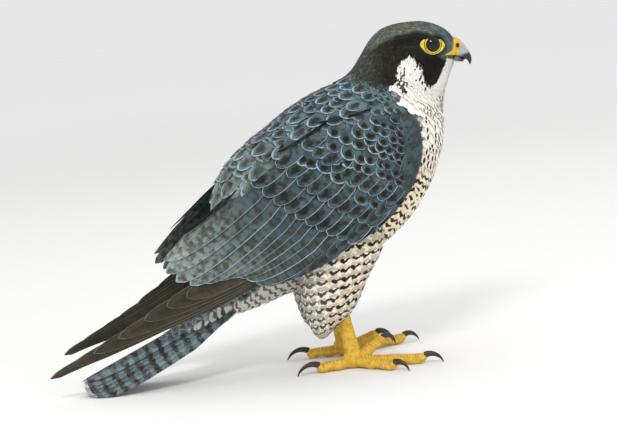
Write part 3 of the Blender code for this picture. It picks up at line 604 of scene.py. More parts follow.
class Mesher:
    """Gathers closed tubes with their colours and maps, and makes one mesh object of them."""

    def __init__(self, name):
        self.name = name
        self.points, self.corners, self.starts = [], [], []
        self.maps = {"vane": [], "OFBake": []}
        self.paint = {"tone": [], "mark": [], "edge": [], "form": []}
        self.count, self.loops, self.vanes = 0, 0, 0

    def tube(self, points, tone):
        """One closed tube of shape (rings, sides), with its colour for each point or once for all."""
        self.tubes(points[None], {"tone": np.broadcast_to(tone, points.shape)[None]})

    def tubes(self, points, paint=None, vane=None, bake=None):
        """Tubes of shape (tubes, rings, sides): quads between the rings, one polygon at each end.

        A tube whose signed volume is negative has its ring turned round, so all faces point outwards.
        """
        points = np.asarray(points, float)
        many, rings, sides = points.shape[:3]
        index = np.arange(many * rings * sides).reshape(many, rings, sides)
        middle = points.mean(axis=(1, 2), keepdims=True)
        local = points - middle
        around = np.roll(local, -1, axis=2)
        volume = np.einsum("nrsk,nrsk->n", np.cross(local[:, :-1], around[:, :-1]), local[:, 1:])
        index = np.where((volume < 0)[:, None, None], index[:, :, ::-1], index)
        after = np.roll(index, -1, axis=2)
        quads = np.stack([index[:, :-1], after[:, :-1], after[:, 1:], index[:, 1:]], -1).reshape(-1, 4)
        caps = np.concatenate([index[:, 0, ::-1], index[:, -1]]).reshape(-1, sides)
        self.add(points.reshape(-1, 3), [quads, caps], paint, vane, bake, (many, rings, sides))

    def add(self, points, polygons, paint, vane, bake, shape):
        """Points with their polygons, and colours and maps spread over the points' grid of this shape."""
        for faces in polygons:
            self.corners.append(faces.ravel() + self.count)
            self.starts.append(np.arange(len(faces)) * faces.shape[1] + self.loops)
            self.loops += faces.size
        self.points.append(points)
        total = len(points)
        for key, store in self.paint.items():
            value = None if paint is None else paint.get(key)
            value = np.ones(4) if value is None else np.asarray(value, float)
            if value.shape[-1] == 3:
                value = np.concatenate([value, np.ones(value.shape[:-1] + (1,))], -1)
            store.append(np.broadcast_to(value, tuple(shape) + (4,)).reshape(total, 4))
        for key, value in (("vane", vane), ("OFBake", bake)):
            value = np.zeros(2) if value is None else np.asarray(value, float)
            self.maps[key].append(np.broadcast_to(value, tuple(shape) + (2,)).reshape(total, 2))
        self.count += total

    def make(self, material, replaces=(), slot=None, baked=True):
        """The object, in metres of the standing pose, smooth, riding on the body and in its material."""
        mesh = bpy.data.meshes.new(self.name)
        points = stand(np.concatenate(self.points))
        corners, starts = np.concatenate(self.corners), np.concatenate(self.starts)
        mesh.vertices.add(len(points))
        mesh.vertices.foreach_set("co", points.ravel())
        mesh.loops.add(len(corners))
        mesh.loops.foreach_set("vertex_index", corners.astype(np.int32))
        mesh.polygons.add(len(starts))
        mesh.polygons.foreach_set("loop_start", starts.astype(np.int32))
        mesh.update(calc_edges=True)
        mesh.polygons.foreach_set("use_smooth", np.ones(len(starts), bool))
        mesh.set_sharp_from_angle(angle=SHARP_ANGLE)
        for key, values in self.maps.items():
            if key != "OFBake" or baked:
                layer = mesh.uv_layers.new(name=key)
                layer.data.foreach_set("uv", np.concatenate(values)[corners].ravel().astype(np.float32))
        for key, values in self.paint.items():
            layer = mesh.attributes.new(key, "FLOAT_COLOR", "POINT")
            layer.data.foreach_set("color", np.concatenate(values).ravel().astype(np.float32))
        mesh.validate()
        mesh.materials.append(material)
        made = bpy.data.objects.new(self.name, mesh)
        bpy.context.scene.collection.objects.link(made)
        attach(made, "root")
        if replaces:
            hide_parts(*replaces)
        return made


# Outlines of small feathers: share along, half width as a share. Rings: place across and up, as shares
SMALL_SHAPE = np.array([(0.0, 0.50), (0.35, 0.88), (0.66, 1.0), (0.87, 0.86), (0.97, 0.50), (1.0, 0.16)])
TINY_SHAPE = np.array([(0.0, 0.55), (0.45, 1.0), (0.82, 0.78), (1.0, 0.18)])
SMALL_RING = np.array([(-1.0, 0.0), (0.0, 1.0), (1.0, 0.0), (0.0, -1.0)])
CAMBER = 0.035
SMALL_CELL = 0.003
ROOT_JITTER = 0.16
LONG_ALONG = np.array([0.0, 0.15, 0.32, 0.50, 0.66, 0.78, 0.87, 0.93, 0.97, 1.0])
LONG_TOP = [(-1.0, 0.0), (-0.55, 0.7), (-0.06, 1.0), (0.0, 1.5), (0.06, 1.0), (0.55, 0.7), (1.0, 0.0)]
LONG_RING = np.array(LONG_TOP + [(0.5, -0.6), (-0.5, -0.6)])


def contour_feathers(
    mesher, surface, spots, sizes, lift, colours, outward=-1.0, move=None, heading=0.0, shape=SMALL_SHAPE
):
    """Small feathers on a surface. spots holds their roots' two parameters and their places on the unwrap.

    A feather runs along the first parameter, turned by heading towards the second, by steps of real length.
    Its height is a straight climb from its root's lift to its tip's, less a camber across, plus its own
    thickness.
    """
    places, turns, unwrap = spots
    length, width, thick = sizes
    base = surface(places, turns)
    step_a = np.linalg.norm(surface(places + STEP, turns) - base, axis=-1) / STEP
    step_b = np.linalg.norm(surface(places, turns + STEP) - base, axis=-1) / STEP
    n = np.newaxis
    share = shape[None, :, 0, None]
    spread = SMALL_RING[None, None, :, 0] * shape[None, :, 1, None]
    heading = np.broadcast_to(heading, places.shape)[:, n, n]
    forth, beside = length[:, n, n] * share + 0 * spread, width[:, n, n] / 2 * spread
    first = places[:, n, n] + (forth * np.cos(heading) - beside * np.sin(heading)) / step_a[:, n, n]
    second = turns[:, n, n] + (forth * np.sin(heading) + beside * np.cos(heading)) / step_b[:, n, n]
    rise = lift[0][:, n, n] * (1 - share) + lift[1][:, n, n] * share
    rise = rise - CAMBER * width[:, n, n] * spread**2
    rise = rise + thick * SMALL_RING[None, None, :, 1] * (1 - 0.6 * share)
    points = lifted(surface, first, second, rise, outward)
    if move is not None:
        points = move(points)
    vane = np.stack(np.broadcast_arrays(SMALL_RING[None, None, :, 0] / 2 + 0.5, share), -1)
    vane = np.broadcast_to(vane, points.shape[:-1] + (2,))
    bake = unwrap[:, n, n, :] + (vane - 0.5) * SMALL_CELL
    paint = {key: value[:, n, n, :] for key, value in colours.items()}
    mesher.tubes(points, paint, vane, bake)


def staggered(surface, firsts, seconds, gap, wider, seed):
    """Roots in staggered rows, each at one value of the first parameter, gap times wider apart along the row.

    Rows lie a gap apart where the surface is longest. Where it is shorter, or the gap is wider, only every
    second, fourth or eighth row is kept. A small seeded unevenness moves each root.
    """
    rng = np.random.default_rng(seed)
    a, b = np.meshgrid(firsts, seconds, indexing="ij")
    points = surface(a, b)
    rate = np.linalg.norm(np.diff(points, axis=0), axis=-1) / gap((points[1:] + points[:-1]) / 2)
    level = np.concatenate([[0], np.cumsum(rate.max(axis=1))])
    rows = int(level[-1])
    found = []
    for k in range(rows):
        here = min(np.searchsorted(level, k + 0.5) - 1, len(rate) - 1)
        first = np.interp(k + 0.5, level, firsts)
        line = surface(first + 0 * seconds, seconds)
        length = np.linalg.norm(np.diff(line, axis=0), axis=-1) / (gap((line[1:] + line[:-1]) / 2) * wider)
        total = np.concatenate([[0], np.cumsum(length)])
        many = max(int(round(total[-1])), 1)
        want = (np.arange(many) + 0.5) * total[-1] / many
        ratio = rate[here].max() / np.interp(np.interp(want, total, seconds), seconds, rate[here])
        each = 2 ** np.maximum(np.floor(np.log2(ratio) + 0.5), 0).astype(int)
        shift = np.where((k // each) % 2, 0.25, -0.25) + rng.uniform(-ROOT_JITTER, ROOT_JITTER, many)
        want = np.clip(want + shift * total[-1] / many, 0, total[-1])
        uneven = rng.uniform(-ROOT_JITTER, ROOT_JITTER, many)
        row = first + uneven * each * (np.interp(k + 1.0, level, firsts) - first)
        place = np.stack([want / total[-1], np.full(many, (k + 0.5) / rows)], -1)
        found.append(np.column_stack([row, np.interp(want, total, seconds), place])[k % each == 0])
    found = np.concatenate(found)
    return found[:, 0], found[:, 1], found[:, 2:4] * 0.98 + 0.01


def varied(values, rng, amount=0.10):
    """The values, each made longer or shorter by up to this share."""
    return np.asarray(values, float) * rng.uniform(1 - amount, 1 + amount, len(values))


def body_gap(points):
    """Row spacing on the head, neck and body in mm: finest on the face, widest on the back."""
    x, z = points[..., 0], points[..., 2]
    face = eased((x - 48) / 20) * eased((z - 243) / 12)
    head = eased((head_height(points) - 216) / 32)
    back = eased((x * -0.62 + z * 0.78 - 128) / 30)
    plain = 5.2 + 3.0 * eased((185 - z) / 40) - 1.4 * eased((z - 196) / 20) * (1 - back) + 3.4 * back
    return blend_number(blend_number(plain, 1.6, head), 1.05, face)


def almond(turn):
    """The bare ring's outline: cosine times the corners' reach, and sine times its height, sine sharpened."""
    cos, sin = np.cos(turn), np.sin(turn)
    wide = np.where(cos > 0, LID_CORNERS[0], LID_CORNERS[1])
    tall = np.where(sin > 0, LID_HEIGHTS[0], LID_HEIGHTS[1])
    return wide * cos, tall * sin * np.abs(sin) ** 0.3 - 0.04 * wide * cos


def near_eye(points, grow):
    """True on the bare ring round the eye, a pointed oval in the side view grown by this many mm."""
    x, z = points[..., 0] - EYE_CENTRE[0], points[..., 2] - EYE_CENTRE[2]
    tall = np.where(z > 0, LID_HEIGHTS[0] - 0.9, LID_HEIGHTS[1])
    inside = np.abs(x / (11.0 + grow)) ** 1.5 + np.abs(z / (tall + grow)) ** 1.5 < 1
    return inside & (np.abs(points[..., 1]) > 5)


def on_cere(place, turn):
    """True on the bare skin behind the bill, which runs as far back as CERE_BACK says."""
    turn = np.abs((turn + math.pi) % math.tau - math.pi)
    share = turn / (GAPE_TURN - GAPE_SLOPE * place)
    return (share < 1.0) & (place < np.interp(share, CERE_BACK[:, 0], CERE_BACK[:, 1]) - 0.08)


def long_vanes(mesher, surface, ends, widths, bow, lift, tilt, thick, colours, cells, blunt=4.0, move=None):
    """Long feathers with a shaft, between their ends' roots and tips in a surface's plane coordinates.

    The centre line is straight plus bow times a parabola. The half width grows over the first third and
    closes on the tip by one minus a power of the share along. Each vane has its own cell of the bake map, of
    cells a side.
    """
    roots, tips = (np.asarray(places, float) for places in ends)
    many = len(roots)
    widths, bows = np.broadcast_to(np.asarray(widths, float), many), np.full(many, bow)
    n = np.newaxis
    share = LONG_ALONG[None, :, None]
    line = tips - roots
    length = np.linalg.norm(line, axis=1)
    forward = line / length[:, n]
    side = np.stack([-forward[:, 1], forward[:, 0]], -1)
    half = widths[:, n, n] / 2 * np.minimum(0.5 + 1.7 * share, 1.0)
    half = half * np.sqrt(np.maximum(1 - share**blunt, 0.004))
    spread = half * LONG_RING[None, None, :, 0]
    bow = (bows[:, n, n] * 4 * share * (1 - share))[..., n]
    flat = roots[:, n, n] + line[:, n, n] * share[..., n] + side[:, n, n] * (spread[..., n] + bow)
    rise = lift(share, flat, np.arange(many)[:, n, n]) + tilt * spread
    rise = rise + thick * LONG_RING[None, None, :, 1] * (1 - 0.5 * share)
    points = surface(flat[..., 0], flat[..., 1], rise)
    if move is not None:
        points = move(points)
    vane = np.stack(np.broadcast_arrays(LONG_RING[None, None, :, 0] / 2 + 0.5, share), -1)
    vane = np.broadcast_to(vane, points.shape[:-1] + (2,))
    corner = np.stack(np.divmod(np.arange(many) + mesher.vanes, cells), -1) / cells
    mesher.vanes += many
    back = np.where(LONG_RING[:, 1] >= 0, 0.0, 0.5)[None, None, :]
    local = np.stack([(vane[..., 0] * 0.45 + back) * 0.94 + 0.03, vane[..., 1] * 0.9 + 0.05], -1)
    bake = corner[:, n, n, :] + local / cells
    paint = {key: value if value.ndim == 4 else value[:, n, n, :] for key, value in colours.items()}
    mesher.tubes(points, paint, vane, bake)


def on_wing(x, z, lift):
    """The wing's sheet at a place of the side view, held at its lower edge, plus lift."""
    place, down = wing_place(x, z)
    return wing_sheet(place, np.clip(down, 0.0, 1.03), lift)


SCALE_HEADING = math.radians(242.0)
SCALE_ORIGIN = (-5.0, 168.0)


def scale_spot(first, second):
    """The side-view place that is first mm along the wing scales' heading and second mm square to it."""
    cos, sin = math.cos(SCALE_HEADING), math.sin(SCALE_HEADING)
    return first * cos - second * sin + SCALE_ORIGIN[0], first * sin + second * cos + SCALE_ORIGIN[1]


def wing_scales(first, second):
    """The wing core's outer face, by the places of scale_spot."""
    place, down = wing_place(*scale_spot(np.asarray(first, float), np.asarray(second, float)))
    down = np.clip(down, 0.0, 1.0)
    return wing_sheet(place, down, wing_core(place, down))


class Graph:
    """Short ways to add shader nodes to one material."""

    def __init__(self, name):
        self.material = bpy.data.materials.new(name)
        self.material.use_nodes = True
        self.nodes, self.links = self.material.node_tree.nodes, self.material.node_tree.links
        self.shader = self.nodes["Principled BSDF"]

    def put(self, value, socket):
        if isinstance(value, bpy.types.NodeSocket):
            self.links.new(value, socket)
        elif socket.type == "RGBA":
            socket.default_value = (*value, 1.0) if len(value) == 3 else value
        else:
            socket.default_value = value

    def node(self, kind, output=0, **inputs):
        made = self.nodes.new(kind)
        for name, value in inputs.items():
            if hasattr(made, name):
                setattr(made, name, value)
            else:
                self.put(value, made.inputs[name.replace("_", " ")])
        return made.outputs[output]

    def math(self, operation, *values):
        made = self.nodes.new("ShaderNodeMath")
        made.operation = operation
        for i, value in enumerate(values):
            self.put(value, made.inputs[i])
        return made.outputs[0]

    def add(self, first, second):
        return self.math("ADD", first, second)

    def less(self, first, second):
        return self.math("SUBTRACT", first, second)

    def times(self, first, second):
        return self.math("MULTIPLY", first, second)

    def scaled(self, value, by, plus):
        return self.math("MULTIPLY_ADD", value, by, plus)

    def square(self, value):
        return self.math("POWER", value, 2.0)

    def rest(self, value):
        """What is left of one."""
        return self.math("SUBTRACT", 1.0, value)

    def step(self, value, low, high):
        """A smooth step from 0 at low to 1 at high."""
        made = self.nodes.new("ShaderNodeMapRange")
        made.interpolation_type = "SMOOTHSTEP"
        for i, part in enumerate((value, low, high, 0.0, 1.0)):
            self.put(part, made.inputs[i])
        return made.outputs[0]

    def mix(self, share, first, second, kind="MIX"):
        made = self.nodes.new("ShaderNodeMix")
        made.data_type = "RGBA"
        made.blend_type = kind
        self.put(share, made.inputs["Factor"])
        self.put(first, made.inputs[6])
        self.put(second, made.inputs[7])
        return made.outputs[2]

    def attribute(self, name, output="Color"):
        made = self.nodes.new("ShaderNodeAttribute")
        made.attribute_name = name
        return made.outputs[output]

    def parts(self, vector):
        made = self.nodes.new("ShaderNodeSeparateXYZ")
        self.put(vector, made.inputs[0])
        return made.outputs

    def noise(self, vector, scale, detail=3.0):
        return self.node("ShaderNodeTexNoise", "Fac", Vector=vector, Scale=scale, Detail=detail)

    def place(self):
        return self.node("ShaderNodeTexCoord", "Object")

    def finish(self, colour, roughness, height=None, bump=0.3, distance=0.0004, **sockets):
        self.put(colour, self.shader.inputs["Base Color"])
        self.put(roughness, self.shader.inputs["Roughness"])
        if height is not None:
            made = self.nodes.new("ShaderNodeBump")
            made.inputs["Strength"].default_value = bump
            made.inputs["Distance"].default_value = distance
            self.links.new(height, made.inputs["Height"])
            self.links.new(made.outputs[0], self.shader.inputs["Normal"])
        for name, value in sockets.items():
            self.shader.inputs[name.replace("_", " ")].default_value = value
        return self.material


# How each kind of feather looks, by what feather_material is told
FEATHERS = {
    "contour_feather": {"barbs": 95.0, "chevron": 0.30, "rim_start": 0.93, "tip_start": 0.70, "duty": 0.30},
    "covert_feather": {
        "barbs": 95.0, "chevron": 0.26, "rim_start": 0.93, "tip_start": 0.70, "duty": 0.22, "wash": 0.65
    },
    "flight_feather": {
        "barbs": 260.0, "chevron": 0.12, "rim_start": 0.91, "tip_start": 0.92, "duty": 0.42,
        "check": 0.50, "wash": 0.7, "ragged": 0.9,
    },
    "tail_feather": {
        "barbs": 260.0, "chevron": 0.12, "rim_start": 0.45, "tip_start": 0.95, "sides": 0.0, "duty": 0.46,
        "check": 0.38, "wash": 0.45, "ragged": 0.9,
    },
}
BROWN_WASH = (0.032, 0.036, 0.029)
SHAFT_TONE = (0.02, 0.018, 0.015)
BAND_START = 0.20
BAND_SOFT = 0.09


class FeatherGraph(Graph):
    """The values that a feather's markings share: places on the vane's own map, its attributes and noises."""

    def __init__(self, name):
        super().__init__(name)
        uv = self.node("ShaderNodeUVMap", uv_map="vane")
        self.across_uv, self.along_uv, _ = self.parts(uv)
        self.across = self.math("ABSOLUTE", self.scaled(self.across_uv, 2.0, -1.0))
        self.tone, self.mark, self.edge = (self.attribute(key) for key in ("tone", "mark", "edge"))
        self.spot, self.bars, self.fringe = self.parts(self.attribute("form"))
        self.centre = self.attribute("form", "Alpha")
        self.count = self.attribute("mark", "Alpha")
        self.uneven = self.noise(self.place(), 420.0, 4.0)
        self.fine = self.noise(self.place(), 1500.0, 2.0)
        self.streak = self.noise(self.place(), 150.0, 6.0)

    def distance(self, first, second):
        """The root of both squares added."""
        return self.math("SQRT", self.add(self.square(first), self.square(second)))

    def middle(self):
        """Strength of the dark middle: one well inside an uneven oval short of the tip."""
        away = self.distance(self.scaled(self.along_uv, 4.4, -3.4), self.times(self.across, 1.25))
        away = self.add(away, self.scaled(self.uneven, 0.7, -0.35))
        return self.times(self.rest(self.step(away, 0.35, 0.85)), self.centre)

    def bands(self, chevron, duty, check, wash, ragged):
        """Strength of the bars, by the fraction of a count from the tip, less chevron towards the sides."""
        phase = self.times(self.rest(self.along_uv), self.times(self.count, 10.0))
        phase = self.less(phase, self.times(self.across, chevron))
        phase = self.add(phase, self.scaled(self.uneven, ragged, ragged * -0.5))
        phase = self.add(phase, self.times(self.math("GREATER_THAN", self.across_uv, 0.5), check))
        wave = self.math("FRACT", self.add(phase, 4.0))
        over = self.rest(self.step(wave, BAND_START + duty, 0.30 + duty))
        band = self.times(self.step(wave, BAND_START, BAND_START + BAND_SOFT), over)
        faded = self.scaled(self.step(self.streak, 0.38, 0.60), wash, 1.0 - wash)
        return self.times(self.times(band, faded), self.bars)

    def drop(self):
        """Strength of the spot: a drop that widens towards the tip, with an uneven outline."""
        away = self.square(self.times(self.across, self.scaled(self.along_uv, -6.0, 7.6)))
        away = self.add(away, self.square(self.scaled(self.along_uv, 5.2, -4.05)))
        return self.times(self.rest(self.step(self.add(away, self.uneven), 1.2, 1.8)), self.spot)

    def rim(self, sides, rim_start, tip_start):
        """Strength of the pale edge, where the root of sides * across squared plus end squared is large."""
        scale = 1.0 / (1.0 - tip_start)
        end = self.math("MAXIMUM", self.scaled(self.along_uv, scale, -tip_start * scale), 0.0)
        rim = self.math("SQRT", self.add(self.times(self.square(self.across), sides), self.square(end)))
        rim = self.add(rim, self.scaled(self.fine, 0.10, -0.05))
        return self.times(self.step(rim, rim_start, rim_start + 0.04), self.fringe)


def feather_material(
    name, barbs, chevron, rim_start, tip_start, sides=1.0, duty=0.30, check=0.0, wash=0.0, ragged=0.5
):
    """Base colour with a dark middle, bars or a spot, a thin pale edge and a shaft, on the vane's own map.

    The end that the edge is measured by runs from 0 at tip_start to 1 at the tip, and the edge starts at
    rim_start. Bars slant by chevron, fill duty of their spacing, are as uneven as ragged, and on one side are
    shifted by check. A brown wash lies over the base in patches, as strong as wash. The barbs are fine
    ridges, as close together as barbs says.
    """
    graph = FeatherGraph(name)
    brown = graph.times(graph.step(graph.streak, 0.42, 0.62), wash)
    colour = graph.mix(brown, graph.tone, BROWN_WASH)
    colour = graph.mix(graph.middle(), colour, graph.mix(0.97, colour, graph.mark))
    colour = graph.mix(graph.bands(chevron, duty, check, wash, ragged), colour, graph.mark)
    colour = graph.mix(graph.drop(), colour, graph.mark)
    colour = graph.mix(graph.rim(sides, rim_start, tip_start), colour, graph.edge)
    shaft = graph.rest(graph.step(graph.across, 0.02, 0.07))
    colour = graph.mix(graph.times(shaft, 0.30), colour, graph.mix(0.6, colour, SHAFT_TONE))
    slant = graph.less(graph.along_uv, graph.times(graph.across, 0.35))
    lines = graph.math("SINE", graph.times(slant, barbs))
    height = graph.add(graph.times(lines, 0.25), graph.times(shaft, 0.8))
    height = graph.add(height, graph.uneven)
    value = graph.add(graph.times(lines, 0.05), graph.scaled(graph.uneven, 0.24, 0.86))
    grey = graph.node("ShaderNodeCombineColor", Red=value, Green=value, Blue=value)
    colour = graph.mix(1.0, colour, grey, "MULTIPLY")
    rough = graph.scaled(graph.uneven, 0.18, 0.60)
    soft = {"Sheen_Weight": 0.02, "Sheen_Roughness": 0.5, "Specular_IOR_Level": 0.12}
    return graph.finish(colour, rough, height, 0.25, 0.0003, **soft)


def feathered(name):
    """The material of this kind of feather, made when it is first asked for."""
    return shared(name, lambda: feather_material(name, **FEATHERS[name]))


DOWN_SHADE = (0.03, 0.03, 0.028)
# Painted shade in the creases between the scales of the bare yellow skin
CREASE_SHADE_TONE = (0.30, 0.12, 0.01)
HORN_STREAK = (0.30, 0.26, 0.20)
HORN_CLOUD = (0.02, 0.02, 0.02)


def skin_material():
    """The coat's base colour, broken up by fine noise."""
    graph = Graph("plumage_base")
    grain = graph.noise(graph.place(), 900.0, 5.0)
    colour = graph.mix(graph.times(grain, 0.45), graph.attribute("tone"), DOWN_SHADE)
    return graph.finish(colour, 0.85, grain, 0.5, 0.0004)


def scaly_material(name="scaly_yellow_skin", scale=950.0, depth=0.35):
    """Yellow skin in small scales: cells of this scale, painted shade darkening the creases by depth, orange
    in patches.
    """
    graph = Graph(name)
    place = graph.place()
    style = bpy.context.scene.falcon_colours
    edges = {"feature": "DISTANCE_TO_EDGE", "Vector": place, "Scale": scale}
    crease = graph.step(graph.node("ShaderNodeTexVoronoi", "Distance", **edges), 0.0, 0.16)
    grain = graph.noise(place, 260.0, 4.0)
    colour = graph.mix(graph.step(grain, 0.35, 0.70), style.leg, style.leg_shade)
    # Painted shade: the creases between the scales are darkened towards the crease tone by depth
    colour = graph.mix(graph.rest(crease), colour, graph.mix(depth, colour, CREASE_SHADE_TONE))
    colour = graph.mix(1.0, colour, graph.attribute("tone"), "MULTIPLY")
    height = graph.add(crease, graph.times(grain, 0.6))
    rough = graph.scaled(grain, 0.25, 0.34)
    return graph.finish(colour, rough, height, 0.45, 0.0003, Subsurface_Weight=0.08, Subsurface_Scale=0.002)


def bare_material():
    """The same skin round the eyes and on the cere, in finer scales with fainter painted shade in their
    creases.
    """
    return shared("bare_yellow_skin", lambda: scaly_material("bare_yellow_skin", 1500.0, 0.18))


def horn_material():
    """Horn with the colour set along it, fine lengthwise streaks and small scuffs."""
    graph = Graph("streaked_horn")
    place = graph.place()
    streak = graph.noise(place, 700.0, 5.0)
    cloud = graph.noise(place, 160.0, 2.0)
    tone = graph.attribute("tone")
    colour = graph.mix(graph.times(streak, 0.25), tone, graph.mix(0.2, tone, HORN_STREAK))
    colour = graph.mix(graph.times(graph.step(cloud, 0.5, 0.8), 0.3), colour, HORN_CLOUD)
    rough = graph.scaled(streak, 0.25, 0.24)
    return graph.finish(colour, rough, streak, 0.15, 0.0002, Specular_IOR_Level=0.4)


def eye_material():
    """A black pupil in a dark brown iris with fine rays, under a wet clear surface."""
    graph = Graph("wet_dark_eye")
    tone = graph.attribute("tone")
    rays = graph.noise(graph.place(), 900.0, 2.0)
    colour = graph.mix(graph.times(rays, 0.5), tone, graph.mix(0.5, tone, (0.0, 0.0, 0.0)))
    rough = graph.scaled(rays, 0.03, 0.04)
    return graph.finish(colour, rough, None, Coat_Weight=0.35, Coat_Roughness=0.02, Specular_IOR_Level=0.2)


def shared(name, make):
    """The material of this name, or else a new one from make."""
    found = bpy.data.materials.get(name)
    return found if found is not None else make()


def length_property(name, words, default):
    return bpy.props.FloatProperty(
        name=name, description=words, default=default, unit="LENGTH", subtype="DISTANCE"
    )


class FalconSizes(bpy.types.PropertyGroup):
    coat: length_property("Coat depth", "How far the skin lies under the body feathers' tips", 0.0020)
    face_coat: length_property("Face coat depth", "How far the skin lies under the face's feathers", 0.0008)
    vane: length_property("Vane thickness", "Half the thickness of a body feather", 0.00018)


def colour_property(name, words, default):
    return bpy.props.FloatVectorProperty(
        name=name, description=words, default=default, subtype="COLOR", size=3, min=0, max=1
    )


class FalconColours(bpy.types.PropertyGroup):
    throat: colour_property("Throat", "White of the throat and cheeks", (0.88, 0.86, 0.80))
    breast: colour_property("Breast", "Cream of the breast", (0.94, 0.90, 0.82))
    belly: colour_property("Belly", "Buff of the belly and thighs", (0.88, 0.77, 0.58))
    vent: colour_property("Vent", "Grey white under the tail", (0.64, 0.63, 0.57))
    marks: colour_property("Marks", "Dark spots and bars", (0.022, 0.018, 0.013))
    hood: colour_property("Hood", "Blackish brown of the hood", (0.016, 0.016, 0.011))
    black: colour_property("Black", "Brow and moustache", (0.009, 0.008, 0.006))
    crown: colour_property("Crown", "Greenish grey of the crown", (0.115, 0.130, 0.100))
    forehead: colour_property("Forehead", "Blue grey of the forehead and lores", (0.16, 0.22, 0.24))
    mantle: colour_property("Mantle", "Slate of the back and wings", (0.082, 0.122, 0.135))
    rump: colour_property("Rump", "Pale grey of the lower back", (0.21, 0.25, 0.235))
    fringe: colour_property("Fringe", "Pale blue grey feather edges", (0.35, 0.48, 0.58))
    flight: colour_property("Flight feathers", "Dark brown of the primaries", (0.060, 0.048, 0.031))
    leg: colour_property("Legs", "Yellow of the legs and cere", (0.90, 0.60, 0.05))
    leg_shade: colour_property("Leg shade", "Orange brown of the legs", (0.72, 0.38, 0.03))
    horn_tip: colour_property("Horn", "Dark horn of the claws and bill tip", (0.022, 0.015, 0.009))
    horn_base: colour_property("Horn base", "Pale blue grey of the bill's base", (0.33, 0.43, 0.50))


def coat_depth(points):
    """The coat's depth in mm, thinner on the head."""
    sizes = bpy.context.scene.falcon_sizes
    head = eased((head_height(points) - 235) / 20)
    return (sizes.coat + (sizes.face_coat - sizes.coat) * head) / MM


THIGH_COAT = 1.4
TAIL_COAT = 1.2
TAIL_SKIN = (0.3, 0.3, 0.27)
FINE_GAP = 2.6
FLECK_FLOOR = 222.0


class FALCON_OT_skin(bpy.types.Operator):
    """One skin under the whole plumage: body, thighs, wings' cores and the tail's root"""

    bl_idname = "falcon.skin"
    bl_label = "Skin"

    def execute(self, context):
        skin = Mesher("plumage_skin")
        place, turn = ring_grid(0, BODY_END, 130, 96)
        points = lifted(body_surface, place, turn, -coat_depth(body_surface(place, turn)))
        skin.tube(points, plumage_colours(points)[0])
        place, turn = ring_grid(0, len(THIGH) - 1.02, 50, 48)
        thigh = lifted(thigh_surface, place, turn, np.full(place.shape, -THIGH_COAT))
        for side in SIDES.values():
            moved = sideways(thigh, -side)
            skin.tube(moved, plumage_colours(moved)[0] * 0.8)
        # Painted shade: the wings' cores take the mantle's slate darkened to 0.22, a dark sheet that shows as
        # shade in the gaps between the wing's feathers
        slate = np.array(context.scene.falcon_colours.mantle) * 0.22
        place, down = np.meshgrid(np.linspace(0, WING_BODY_END, 60), np.linspace(0, 1, 24), indexing="ij")
        outer = wing_core(place, down) - 0.8
        depth = WING_DEPTH + (4.2 + WING_SINK - WING_DEPTH) * eased((place - 5.2) / 1.8)
        inner = -np.maximum(depth, -outer + 2.0)
        faces = wing_sheet(place, down, outer), wing_sheet(place, down, inner)[:, ::-1]
        core = np.concatenate(faces, axis=1)
        for side in SIDES.values():
            skin.tube(mirrored(core, side), slate)
        place, turn = ring_grid(0, len(TAIL_COVERTS) - 1.02, 40, 40)
        skin.tube(lifted(tail_cover, place, turn, np.full(place.shape, -TAIL_COAT)), TAIL_SKIN)
        nodes = ["head", "neck", "torso", "thigh_right", "thigh_left"]
        skin.make(shared("plumage_base", skin_material), nodes, "plumage_pale", baked=False)
        return {"FINISHED"}


def chosen_only(keep, *values):
    """Each of the values, where keep is true."""
    return (value[keep] for value in values)


def speckled(tone, dark, gap, rng):
    """The tones made uneven, more so where dark, with a few far lighter ones among the finest."""
    uneven = rng.uniform(-1, 1, len(tone)) * (0.05 + 0.40 * dark)
    lighter = dark * ((rng.uniform(0, 1, len(tone)) < 0.08) & (gap < FINE_GAP))
    return tone * (1 + uneven + lighter)[:, None]


